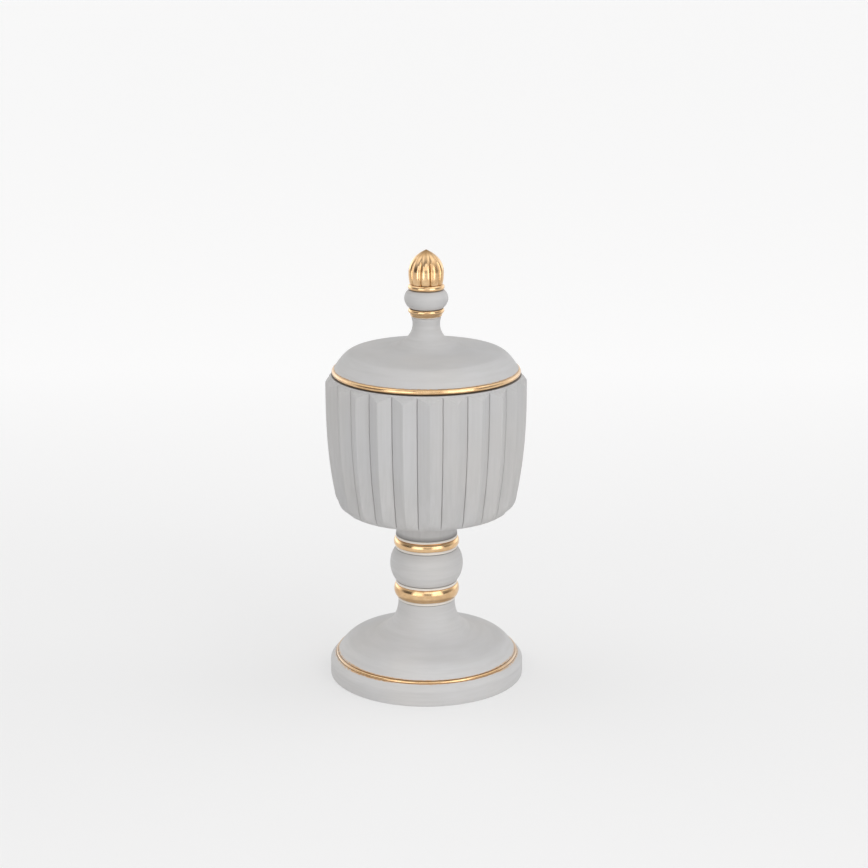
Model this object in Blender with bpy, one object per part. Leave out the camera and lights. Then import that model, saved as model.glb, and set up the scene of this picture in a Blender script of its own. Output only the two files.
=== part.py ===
"""A lidded pedestal jar with a pleated bowl, built from the pieces that it is put together from.

Metres, +Z up. The jar stands on the origin and its front faces -Y.
A threaded rod clamps foot, collars, knop and bowl together, and a stud holds the finial on the lid.
Every outline is a list of (radius, height) points, with the height measured from the piece's own base.
"""

import math

import bmesh
import bpy

# Clearances
SEAT_GAP = 0.0003
FIT_GAP = 0.0003
ROD_PLAY = 0.0006
SOCKET_PLAY = 0.0005
LID_PLAY = 0.0008

# Foot: a hollow dome on a plain plinth
FOOT_RADIUS = 0.0853
FOOT_HEIGHT = 0.0687
FOOT_WALL = 0.0050
FOOT_WEB = 0.0090
FOOT_RIM_WIDTH = 0.0110
FOOT_EDGE = 0.0008
FOOT_NECK_RADIUS = 0.0250
FOOT_NECK_LENGTH = 0.0037
PLINTH_HEIGHT = 0.0120
FOOT_SHOULDER_RUN = 0.0122
FOOT_SHOULDER_RISE = 0.0110
FOOT_FLARE_RUN = 0.0210
FOOT_FLARE_RISE = 0.0272

# Gilt beads: round rings let into a groove
FOOT_BEAD_SETBACK = 0.0064
FOOT_BEAD_RISE = 0.0072
FOOT_BEAD_THICKNESS = 0.0032
FOOT_BEAD_SINK = 0.0009
FOOT_BEAD_FACING = math.radians(45)
LID_BEAD_SETBACK = 0.0030
LID_BEAD_THICKNESS = 0.0050
LID_BEAD_HOOD = math.radians(80)

# Stem: two gilt collars with a knop between them
SPIGOT_RADIUS = 0.0160
SPIGOT_REACH = 0.0080
COLLAR_FOOT_FILLET = 0.0018
COLLAR_TOP_FILLET = 0.0024
LOWER_COLLAR_HEIGHT = 0.0166
LOWER_COLLAR_FOOT_RADIUS = 0.0256
LOWER_COLLAR_RADIUS = 0.0287
LOWER_COLLAR_TOP_RADIUS = 0.0270
LOWER_COLLAR_BELLY = 0.0090
STEM_KNOP_HEIGHT = 0.0301
STEM_KNOP_FOOT_RADIUS = 0.0262
STEM_KNOP_RADIUS = 0.0320
STEM_KNOP_TOP_RADIUS = 0.0268
STEM_KNOP_BELLY = 0.0153
UPPER_COLLAR_HEIGHT = 0.0118
UPPER_COLLAR_FOOT_RADIUS = 0.0272
UPPER_COLLAR_RADIUS = 0.0287
UPPER_COLLAR_TOP_RADIUS = 0.0270
UPPER_COLLAR_BELLY = 0.0053

# Bowl: a pleated shell, ridge by ridge round the axis
BOWL_RADIUS = 0.08715
BOWL_HEIGHT = 0.1438
BOWL_WALL = 0.0060
BOWL_NECK_RADIUS = 0.0264
BOWL_NECK_LENGTH = 0.0041
BOWL_NECK_LIP = 0.0006
BOWL_FLARE_RUN = 0.0076
BOWL_FLARE_RISE = 0.0108
BOWL_TAPER = 0.0068
BOWL_LEAN = 0.19
CORNER_RUN = 0.0094
CORNER_RISE = 0.0147
CORNER_HEIGHT = 0.0245
BELLY_DROP = 0.0202
SHOULDER_DROP = 0.0090
RIM_SETBACK = 0.0052
RIM_LIP = 0.0016
RIB_COUNT = 24
RIB_DEPTH = 0.0050
RIB_TURN = math.radians(2.4)

# Lid: a hollow dome with a neck, and a spigot that drops into the mouth
LID_HEIGHT = 0.0495
LID_WALL = 0.0050
LID_SPIGOT_DEPTH = 0.0090
LID_NECK_RADIUS = 0.0118
LID_NECK_LENGTH = 0.0075
LID_NECK_LIP = 0.0010
LID_SHOULDER_RUN = 0.0154
LID_SHOULDER_RISE = 0.0142
LID_FLARE_RUN = 0.0282
LID_FLARE_RISE = 0.0203

# Finial: collar, knop, cup ring and lobed acorn
FINIAL_SPIGOT_RADIUS = 0.0065
FINIAL_SPIGOT_REACH = 0.0050
FINIAL_COLLAR_HEIGHT = 0.0072
FINIAL_COLLAR_LIP = 0.0009
FINIAL_COLLAR_FOOT_RADIUS = 0.0127
FINIAL_COLLAR_RADIUS = 0.0155
FINIAL_KNOP_HEIGHT = 0.0159
FINIAL_KNOP_FOOT_RADIUS = 0.0140
FINIAL_KNOP_RADIUS = 0.0188
FINIAL_KNOP_TOP_RADIUS = 0.0146
FINIAL_KNOP_BELLY = 0.0087
FINIAL_CUP_HEIGHT = 0.0046
FINIAL_CUP_FOOT_RADIUS = 0.0146
FINIAL_CUP_RADIUS = 0.0157
FINIAL_CUP_TOP_RADIUS = 0.0139
FINIAL_CUP_BELLY = 0.0020
ACORN_HEIGHT = 0.0291
ACORN_FOOT_RADIUS = 0.0134
ACORN_RADIUS = 0.0153
ACORN_BELLY = 0.0098
ACORN_LOBES = 10
ACORN_TURN = math.radians(-2.0)
ACORN_GROOVE = 0.0016
STUD_ENTRY = 0.0120

# Rod, stud, nuts and washers
ROD_RADIUS = 0.0040
ROD_TAIL = 0.0030
STUD_RADIUS = 0.0030
STUD_TAIL = 0.0025
ROD_END_CHAMFER = 0.0006
ROD_NUT_FLATS = 0.0130
ROD_NUT_HEIGHT = 0.0065
CAP_NUT_DOME = 0.0055
CAP_NUT_WALL = 0.0020
STUD_NUT_FLATS = 0.0100
STUD_NUT_HEIGHT = 0.0050
ROD_WASHER_RADIUS = 0.0120
STUD_WASHER_RADIUS = 0.0090
WASHER_THICKNESS = 0.0016
GASKET_OVERHANG = 0.0012
GASKET_THICKNESS = 0.0015

# Curve handles, as shares of a curve's own run and rise
SWELL_REACH = 0.57
SWELL_LIFT = 0.20
PLINTH_LIFT = 0.40
PLINTH_REACH = 0.50
SHOULDER_START = (0.23, 0.36)
SHOULDER_REACH = 0.43
FLARE_REACH = 0.47
FLARE_END = (0.04, 0.60)
BOWL_FLARE_START = 0.60
BOWL_FLARE_END = (0.70, 0.13)
CORNER_START = (0.52, 0.16)
CORNER_END = (0.09, 0.46)
SHOULDER_RISE = 0.38
SHOULDER_FALL = (0.22, 0.41)
FINIAL_FLARE_START = (0.50, 0.22)
FINIAL_FLARE_END = (0.80, 0.62)
ACORN_START = (1.00, 0.30)
ACORN_END = (0.76, 0.75)
ACORN_GROOVE_ONSET = 1.6

# Facets
WIDE_COLUMNS = 36
STEM_COLUMNS = 28
FINIAL_COLUMNS = 20
FASTENER_COLUMNS = 16
BEAD_SIDES = 8
GROOVE_STEPS = 4
CURVE_STEPS = 3
LONG_CURVE_STEPS = 4
ACORN_STEPS = 6
LOBE_STATIONS = (-1.0, -0.45, 0.45, 1.0)
HEXAGON_SIDES = 6
FLAT_STATIONS = (-1.0, -0.33, 0.33, 1.0)
MERGE_DISTANCE = 0.000001
SHARP_ANGLE = math.radians(35)

# Heights of the stacked pieces, worked out from the floor up
LOWER_COLLAR_BASE = FOOT_HEIGHT + SEAT_GAP
STEM_KNOP_BASE = LOWER_COLLAR_BASE + LOWER_COLLAR_HEIGHT + SEAT_GAP
UPPER_COLLAR_BASE = STEM_KNOP_BASE + STEM_KNOP_HEIGHT + SEAT_GAP
BOWL_BASE = UPPER_COLLAR_BASE + UPPER_COLLAR_HEIGHT + SEAT_GAP
LID_BASE = BOWL_BASE + BOWL_HEIGHT + SEAT_GAP
FINIAL_COLLAR_BASE = LID_BASE + LID_HEIGHT + SEAT_GAP
FINIAL_KNOP_BASE = FINIAL_COLLAR_BASE + FINIAL_COLLAR_HEIGHT + SEAT_GAP
FINIAL_CUP_BASE = FINIAL_KNOP_BASE + FINIAL_KNOP_HEIGHT + SEAT_GAP
ACORN_BASE = FINIAL_CUP_BASE + FINIAL_CUP_HEIGHT + SEAT_GAP

# Sizes that mating pieces share
SOCKET_RADIUS = SPIGOT_RADIUS + FIT_GAP
SOCKET_DEPTH = SPIGOT_REACH + SOCKET_PLAY
FINIAL_SOCKET_RADIUS = FINIAL_SPIGOT_RADIUS + FIT_GAP
FINIAL_SOCKET_DEPTH = FINIAL_SPIGOT_REACH + SOCKET_PLAY
ROD_BORE = ROD_RADIUS + ROD_PLAY
STUD_BORE = STUD_RADIUS + ROD_PLAY
MOUTH_RADIUS = BOWL_RADIUS - RIB_DEPTH - BOWL_WALL
RIM_RADIUS = BOWL_RADIUS - RIM_SETBACK
FOOT_BEAD_RADIUS = FOOT_RADIUS - FOOT_BEAD_SETBACK
FOOT_BEAD_HEIGHT = PLINTH_HEIGHT + FOOT_BEAD_RISE
LID_BEAD_RADIUS = RIM_RADIUS - LID_BEAD_SETBACK
LID_BEAD_HEIGHT = LID_BEAD_THICKNESS / 2


def curve(start, lead, follow, end, steps=CURVE_STEPS):
    """Points of a cubic Bezier curve from start to end, without the start itself."""
    points = []
    for step in range(1, steps + 1):
        t = step / steps
        weights = ((1 - t) ** 3, 3 * t * (1 - t) ** 2, 3 * t * t * (1 - t), t ** 3)
        handles = (start, lead, follow, end)
        radius = sum(weight * point[0] for weight, point in zip(weights, handles))
        height = sum(weight * point[1] for weight, point in zip(weights, handles))
        points.append((radius, height))
    return points


def arc(centre, run, rise, first, last, steps):
    """Points of an arc of an ellipse, both ends included, with angles from the outward direction."""
    points = []
    for step in range(steps + 1):
        angle = first + (last - first) * step / steps
        points.append((centre[0] + run * math.cos(angle), centre[1] + rise * math.sin(angle)))
    return points


def offset(points, distance):
    """The same line moved sideways, to the left of its direction."""
    moved = []
    for before, point, after in zip(points[:1] + points, points, points[1:] + points[-1:]):
        along = (after[0] - before[0], after[1] - before[1])
        length = math.hypot(*along)
        moved.append((point[0] - distance * along[1] / length, point[1] + distance * along[0] / length))
    return moved


def swell(end, belly):
    """A quarter bulge from an end to the belly, steep at the belly and rounded in at the end."""
    run = belly[0] - end[0]
    rise = belly[1] - end[1]
    lead = (end[0] + SWELL_REACH * run, end[1] + SWELL_LIFT * rise)
    follow = (belly[0], end[1] + SWELL_REACH * rise)
    return curve(end, lead, follow, belly)


def bulge(foot, belly, top):
    """The outer side of a turned bulge, from its foot over its belly to its top."""
    upper = swell(top, belly)
    return [foot] + swell(foot, belly) + upper[-2::-1] + [top]


def dome(lip, shoulder_run, shoulder_rise, flare_run, flare_rise, neck):
    """The outer side of a necked dome: rounded shoulder, shallow cone and flare into the neck."""
    shoulder = (lip[0] - shoulder_run, lip[1] + shoulder_rise)
    flare = (neck[0] + flare_run, neck[1] - flare_rise)
    slope = (flare[1] - shoulder[1]) / (shoulder[0] - flare[0])
    shoulder_reach = SHOULDER_REACH * shoulder_run
    flare_reach = FLARE_REACH * flare_run
    points = [lip]
    points += curve(
        lip,
        (lip[0] - SHOULDER_START[0] * shoulder_run, lip[1] + SHOULDER_START[1] * shoulder_rise),
        (shoulder[0] + shoulder_reach, shoulder[1] - shoulder_reach * slope),
        shoulder,
        LONG_CURVE_STEPS,
    )
    points.append(flare)
    points += curve(
        flare,
        (flare[0] - flare_reach, flare[1] + flare_reach * slope),
        (neck[0] + FLARE_END[0] * flare_run, neck[1] - FLARE_END[1] * flare_rise),
        neck,
        LONG_CURVE_STEPS,
    )
    return points


def groove(centre, radius, facing, sink):
    """A round-bottomed groove, from its outer lip over its bottom to its inner lip."""
    out = (sink * math.cos(facing), sink * math.sin(facing))
    bottom = arc(centre, radius, radius, facing - math.pi / 2, facing - 3 * math.pi / 2, GROOVE_STEPS)
    lips = [(point[0] + out[0], point[1] + out[1]) for point in (bottom[0], bottom[-1])]
    return [lips[0]] + bottom + [lips[1]]


def below(points, height):
    """The start of a rising line, cut off level at a height."""
    kept = [point for point in points if point[1] < height]
    before = kept[-1]
    after = points[min(len(kept), len(points) - 1)]
    share = min(1.0, (height - before[1]) / max(after[1] - before[1], MERGE_DISTANCE))
    return kept + [(before[0] + share * (after[0] - before[0]), height)]


def material(name, colour, roughness, metallic):
    """A Principled surface."""
    made = bpy.data.materials.new(name)
    made.use_nodes = True
    shader = made.node_tree.nodes["Principled BSDF"]
    shader.inputs["Base Color"].default_value = (*colour, 1.0)
    shader.inputs["Roughness"].default_value = roughness
    shader.inputs["Metallic"].default_value = metallic
    made.diffuse_color = (*colour, 1.0)
    return made


def finished(name, body, finish):
    """Closes the seams of a mesh, turns its faces outward and makes it a named object."""
    bmesh.ops.remove_doubles(body, verts=body.verts, dist=MERGE_DISTANCE)
    bmesh.ops.recalc_face_normals(body, faces=body.faces)
    mesh = bpy.data.meshes.new(name)
    body.to_mesh(mesh)
    body.free()
    mesh.shade_smooth()
    mesh.set_sharp_from_angle(angle=SHARP_ANGLE)
    mesh.materials.append(finish)
    piece = bpy.data.objects.new(name, mesh)
    bpy.context.scene.collection.objects.link(piece)
    return piece


def turned(name, outline, columns, finish):
    """An outline turned once round the Z axis. An outline that starts on the axis also ends there."""
    body = bmesh.new()
    points = [body.verts.new((radius, 0.0, height)) for radius, height in outline]
    if outline[0][0] > 0:
        edges = [body.edges.new(pair) for pair in zip(points, points[1:] + points[:1])]
    else:
        edges = [body.edges.new(pair) for pair in zip(points, points[1:])]
    bmesh.ops.spin(
        body,
        geom=points + edges,
        axis=(0, 0, 1),
        angle=math.tau,
        steps=columns,
        use_merge=True,
    )
    return finished(name, body, finish)


def patterned(name, meridians, repeats, finish):
    """One repeat, skinned from outline to outline at their angles, and copied round the Z axis."""
    body = bmesh.new()
    lines = []
    for angle, outline in meridians:
        across = (math.cos(angle), math.sin(angle))
        lines.append([body.verts.new((r * across[0], r * across[1], h)) for r, h in outline])
    open_ends = 1 if meridians[0][1][0][0] == 0 else 0
    for left, right in zip(lines, lines[1:]):
        for index in range(len(left) - open_ends):
            after = (index + 1) % len(left)
            body.faces.new((left[index], right[index], right[after], left[after]))
    bmesh.ops.spin(
        body,
        geom=body.verts[:] + body.edges[:] + body.faces[:],
        axis=(0, 0, 1),
        angle=math.tau * (repeats - 1) / repeats,
        steps=repeats - 1,
        use_duplicate=True,
    )
    return finished(name, body, finish)


def holder(name, height):
    """An empty on the jar's axis that carries the pieces which move as one."""
    empty = bpy.data.objects.new(name, None)
    empty.location.z = height
    bpy.context.scene.collection.objects.link(empty)
    return empty


def stand(piece, height, carrier):
    """Sets a piece on the axis at its height and gives it to its carrier."""
    piece.parent = carrier
    piece.location.z = height - carrier.location.z
    return piece


def ring(name, bore, side, columns, finish):
    """A turned ring: an outer side from foot to top, closed by a straight bore."""
    outline = side + [(bore, side[-1][1]), (bore, side[0][1])]
    return turned(name, outline, columns, finish)


def bead(name, radius, height, thickness, finish):
    """A round gilt ring."""
    half = thickness / 2
    section = arc((radius, height), half, half, 0, math.tau, BEAD_SIDES)
    return turned(name, section[:-1], WIDE_COLUMNS, finish)


def make_foot(finish):
    """Plinth, domed top with a groove for its bead, neck with a socket, hollow underneath."""
    bead_groove = groove(
        (FOOT_BEAD_RADIUS, FOOT_BEAD_HEIGHT),
        FOOT_BEAD_THICKNESS / 2 + FIT_GAP,
        FOOT_BEAD_FACING,
        FOOT_BEAD_SINK,
    )
    lower_lip = bead_groove[0]
    plinth_top = (FOOT_RADIUS, PLINTH_HEIGHT)
    rounding = (FOOT_RADIUS - lower_lip[0], lower_lip[1] - PLINTH_HEIGHT)
    outside = [(FOOT_RADIUS - FOOT_EDGE, 0.0), (FOOT_RADIUS, FOOT_EDGE), plinth_top]
    outside += curve(
        plinth_top,
        (FOOT_RADIUS, PLINTH_HEIGHT + PLINTH_LIFT * rounding[1]),
        (lower_lip[0] + PLINTH_REACH * rounding[0], lower_lip[1] - PLINTH_LIFT * rounding[1]),
        lower_lip,
    )
    outside += bead_groove[1:-1]
    top = dome(
        bead_groove[-1],
        FOOT_SHOULDER_RUN,
        FOOT_SHOULDER_RISE,
        FOOT_FLARE_RUN,
        FOOT_FLARE_RISE,
        (FOOT_NECK_RADIUS, FOOT_HEIGHT - FOOT_NECK_LENGTH),
    )
    socket_floor = FOOT_HEIGHT - SOCKET_DEPTH
    web_underside = socket_floor - FOOT_WEB
    neck_top = [
        (FOOT_NECK_RADIUS, FOOT_HEIGHT),
        (SOCKET_RADIUS, FOOT_HEIGHT),
        (SOCKET_RADIUS, socket_floor),
        (ROD_BORE, socket_floor),
    ]
    hollow = below(offset(top[::2], FOOT_WALL), web_underside)
    inside = [(ROD_BORE, web_underside)] + hollow[::-1]
    inside.append((FOOT_RADIUS - FOOT_RIM_WIDTH, 0.0))
    return turned("foot", outside + top + neck_top + inside, WIDE_COLUMNS, finish), web_underside


def make_collar(name, height, foot_radius, radius, top_radius, belly, finish):
    """A gilt collar: a half-round between two narrow fillets, bored for the knop's spigot."""
    foot = (foot_radius, COLLAR_FOOT_FILLET)
    top = (top_radius, height - COLLAR_TOP_FILLET)
    side = [(foot_radius, 0.0)] + bulge(foot, (radius, belly), top) + [(top_radius, height)]
    return ring(name, SOCKET_RADIUS, side, STEM_COLUMNS, finish)


def make_knop(name, side, height, spigot, down, up, bore, columns, finish):
    """A turned knop with a spigot at each end and a bore right through."""
    outline = [(bore, -down), (spigot, -down), (spigot, 0.0)] + side
    outline += [(spigot, height), (spigot, height + up), (bore, height + up)]
    return turned(name, outline, columns, finish)


def bowl_side(inset):
    """The bowl's outer side from its neck to its rim, on a ridge or, set in, on a valley."""
    neck = (BOWL_NECK_RADIUS, BOWL_NECK_LENGTH)
    underside = (BOWL_NECK_RADIUS + BOWL_FLARE_RUN, BOWL_NECK_LENGTH + BOWL_FLARE_RISE)
    belly_radius = BOWL_RADIUS - inset
    belly_height = BOWL_HEIGHT - BELLY_DROP
    corner_top = (belly_radius - BOWL_TAPER, CORNER_HEIGHT + CORNER_RISE)
    corner = (BOWL_RADIUS - BOWL_TAPER - CORNER_RUN, CORNER_HEIGHT)
    run = corner_top[0] - corner[0]
    side_lead = (belly_height - corner_top[1]) / 3
    points = [(BOWL_NECK_RADIUS + BOWL_NECK_LIP, 0.0), neck]
    points += curve(
        neck,
        (neck[0], neck[1] + BOWL_FLARE_START * BOWL_FLARE_RISE),
        (
            underside[0] - BOWL_FLARE_END[0] * BOWL_FLARE_RUN,
            underside[1] - BOWL_FLARE_END[1] * BOWL_FLARE_RISE,
        ),
        underside,
    )
    points.append(corner)
    points += curve(
        corner,
        (corner[0] + CORNER_START[0] * run, corner[1] + CORNER_START[1] * CORNER_RISE),
        (corner_top[0] - CORNER_END[0] * run, corner_top[1] - CORNER_END[1] * CORNER_RISE),
        corner_top,
        LONG_CURVE_STEPS,
    )
    points += curve(
        corner_top,
        (corner_top[0] + BOWL_LEAN * side_lead, corner_top[1] + side_lead),
        (belly_radius, belly_height - side_lead),
        (belly_radius, belly_height),
        LONG_CURVE_STEPS,
    )
    shoulder = (belly_radius, BOWL_HEIGHT - SHOULDER_DROP)
    lip = (RIM_RADIUS, BOWL_HEIGHT - RIM_LIP)
    set_back = belly_radius - RIM_RADIUS
    fall = lip[1] - shoulder[1]
    points.append(shoulder)
    points += curve(
        shoulder,
        (belly_radius, shoulder[1] + SHOULDER_RISE * fall),
        (belly_radius - SHOULDER_FALL[0] * set_back, lip[1] - SHOULDER_FALL[1] * fall),
        lip,
        LONG_CURVE_STEPS,
    )
    points.append((RIM_RADIUS, BOWL_HEIGHT))
    return points


def make_bowl(finish):
    """Pleated shell: each rib runs from a valley over a ridge to the next valley."""
    ridge = bowl_side(0.0)
    valley = bowl_side(RIB_DEPTH)
    underside = BOWL_NECK_LENGTH + BOWL_FLARE_RISE
    corner_top = CORNER_HEIGHT + CORNER_RISE
    wall = [point for point in valley if underside <= point[1] <= corner_top + MERGE_DISTANCE]
    inside = offset([wall[0], wall[1], wall[1 + LONG_CURVE_STEPS // 2], wall[-1]], BOWL_WALL)
    floor = inside[0][1]
    hollow = [(MOUTH_RADIUS, BOWL_HEIGHT)] + inside[::-1] + [(ROD_BORE, floor)]
    socket = [
        (ROD_BORE, SOCKET_DEPTH),
        (SOCKET_RADIUS, SOCKET_DEPTH),
        (SOCKET_RADIUS, 0.0),
    ]
    half_pitch = math.pi / RIB_COUNT
    front = RIB_TURN - math.pi / 2
    meridians = [
        (front - half_pitch, valley + hollow + socket),
        (front, ridge + hollow + socket),
        (front + half_pitch, valley + hollow + socket),
    ]
    return patterned("bowl", meridians, RIB_COUNT, finish), BOWL_BASE + floor


def make_lid(finish):
    """Domed shell hooded over its bead, with a spigot below and a socketed neck above."""
    cove = LID_BEAD_THICKNESS / 2 + FIT_GAP
    cove_start = math.asin(LID_BEAD_HEIGHT / cove) - math.pi
    bead_centre = (LID_BEAD_RADIUS, LID_BEAD_HEIGHT)
    edge = arc(bead_centre, cove, cove, cove_start, LID_BEAD_HOOD - math.tau, GROOVE_STEPS)
    top = dome(
        edge[-1],
        LID_SHOULDER_RUN,
        LID_SHOULDER_RISE,
        LID_FLARE_RUN,
        LID_FLARE_RISE,
        (LID_NECK_RADIUS, LID_HEIGHT - LID_NECK_LENGTH),
    )
    neck_top = [
        (LID_NECK_RADIUS, LID_HEIGHT - LID_NECK_LENGTH / 2),
        (LID_NECK_RADIUS + LID_NECK_LIP, LID_HEIGHT),
        (FINIAL_SOCKET_RADIUS, LID_HEIGHT),
        (FINIAL_SOCKET_RADIUS, LID_HEIGHT - FINIAL_SOCKET_DEPTH),
        (STUD_BORE, LID_HEIGHT - FINIAL_SOCKET_DEPTH),
    ]
    flare_start = LONG_CURVE_STEPS + 1
    spigot_radius = MOUTH_RADIUS - LID_PLAY
    spigot_inside = spigot_radius - LID_WALL
    inner = [
        (min(radius, spigot_inside), height)
        for radius, height in offset(top[:flare_start:2] + [top[flare_start]], LID_WALL)
    ]
    crown = inner[-1][1]
    inside = [(STUD_BORE, crown)] + inner[::-1]
    inside += [
        (spigot_inside, -LID_SPIGOT_DEPTH),
        (spigot_radius, -LID_SPIGOT_DEPTH),
        (spigot_radius, 0.0),
    ]
    outline = edge[:-1] + top + neck_top + inside
    return turned("lid", outline, WIDE_COLUMNS, finish), LID_BASE + crown


def make_finial_collar(finish):
    """A gilt cone that widens upward to a rounded lip."""
    lip = (FINIAL_COLLAR_RADIUS, FINIAL_COLLAR_HEIGHT - FINIAL_COLLAR_LIP)
    foot = (FINIAL_COLLAR_FOOT_RADIUS, 0.0)
    flare = FINIAL_COLLAR_RADIUS - FINIAL_COLLAR_FOOT_RADIUS
    side = [foot] + curve(
        foot,
        (foot[0] + FINIAL_FLARE_START[0] * flare, FINIAL_FLARE_START[1] * FINIAL_COLLAR_HEIGHT),
        (foot[0] + FINIAL_FLARE_END[0] * flare, FINIAL_FLARE_END[1] * FINIAL_COLLAR_HEIGHT),
        lip,
    )
    side.append((FINIAL_COLLAR_RADIUS - FINIAL_COLLAR_LIP / 2, FINIAL_COLLAR_HEIGHT))
    return ring("finial_collar", FINIAL_SOCKET_RADIUS, side, FINIAL_COLUMNS, finish)


def make_finial_cup(finish):
    """The gilt ring that the acorn sits in."""
    foot = (FINIAL_CUP_FOOT_RADIUS, 0.0)
    belly = (FINIAL_CUP_RADIUS, FINIAL_CUP_BELLY)
    top = (FINIAL_CUP_TOP_RADIUS, FINIAL_CUP_HEIGHT)
    return ring("finial_cup", FINIAL_SOCKET_RADIUS, bulge(foot, belly, top), FINIAL_COLUMNS, finish)


def make_acorn(finish):
    """A pointed egg cut into lobes, with a stepped blind bore for the knop's spigot and the stud."""
    foot = (ACORN_FOOT_RADIUS, 0.0)
    belly = (ACORN_RADIUS, ACORN_BELLY)
    rise = ACORN_HEIGHT - ACORN_BELLY
    tip = (0.0, ACORN_HEIGHT)
    side = [foot] + swell(foot, belly)
    side += curve(
        belly,
        (ACORN_START[0] * ACORN_RADIUS, ACORN_BELLY + ACORN_START[1] * rise),
        (ACORN_END[0] * ACORN_RADIUS, ACORN_BELLY + ACORN_END[1] * rise),
        tip,
        ACORN_STEPS,
    )
    bore = [
        (0.0, FINIAL_SOCKET_DEPTH + STUD_ENTRY),
        (STUD_BORE, FINIAL_SOCKET_DEPTH + STUD_ENTRY),
        (STUD_BORE, FINIAL_SOCKET_DEPTH),
        (FINIAL_SOCKET_RADIUS, FINIAL_SOCKET_DEPTH),
        (FINIAL_SOCKET_RADIUS, 0.0),
    ]
    half_pitch = math.pi / ACORN_LOBES
    front = ACORN_TURN - math.pi / 2
    meridians = []
    for share in LOBE_STATIONS:
        cut = ACORN_GROOVE * (1 - math.cos(share * math.pi / 2))
        pressed = []
        for radius, height in side:
            fade = math.sqrt(max(0.0, radius / ACORN_RADIUS * (1 - height / ACORN_HEIGHT)))
            depth = cut * min(1.0, ACORN_GROOVE_ONSET * fade) * radius / ACORN_RADIUS
            pressed.append((radius - depth, height))
        meridians.append((front + share * half_pitch, bore + pressed))
    return patterned("finial_acorn", meridians, ACORN_LOBES, finish)


def make_rod(name, radius, length, finish):
    """A plain rod with chamfered ends."""
    outline = [
        (0.0, 0.0),
        (radius - ROD_END_CHAMFER, 0.0),
        (radius, ROD_END_CHAMFER),
        (radius, length - ROD_END_CHAMFER),
        (radius - ROD_END_CHAMFER, length),
        (0.0, length),
    ]
    return turned(name, outline, FASTENER_COLUMNS, finish)


def make_washer(name, bore, radius, thickness, finish):
    """A flat round washer."""
    side = [(radius, 0.0), (radius, thickness)]
    return ring(name, bore, side, FASTENER_COLUMNS, finish)


def hexagon(outline_at):
    """The meridians of one side of a hexagon. Each outline is given how far out its flat lies there."""
    angles = [station * math.pi / HEXAGON_SIDES for station in FLAT_STATIONS]
    return [(angle, outline_at(1 / math.cos(angle))) for angle in angles]


def make_nut(name, bore, flats, height, finish):
    """A plain hexagon nut."""

    def outline(corner):
        outer = flats / 2 * corner
        return [(bore, 0.0), (outer, 0.0), (outer, height), (bore, height)]

    return patterned(name, hexagon(outline), HEXAGON_SIDES, finish)


def make_cap_nut(name, bore, depth, flats, height, dome_height, finish):
    """A hexagon nut closed by a dome, with a blind bore."""
    shoulder = flats / 2 - ROD_END_CHAMFER

    def outline(corner):
        outer = flats / 2 * corner
        points = [(0.0, depth), (bore, depth), (bore, 0.0), (outer, 0.0), (outer, height)]
        points += arc((0.0, height), shoulder, dome_height, 0, math.pi / 2, CURVE_STEPS)[:-1]
        return points + [(0.0, height + dome_height)]

    return patterned(name, hexagon(outline), HEXAGON_SIDES, finish)


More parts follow.
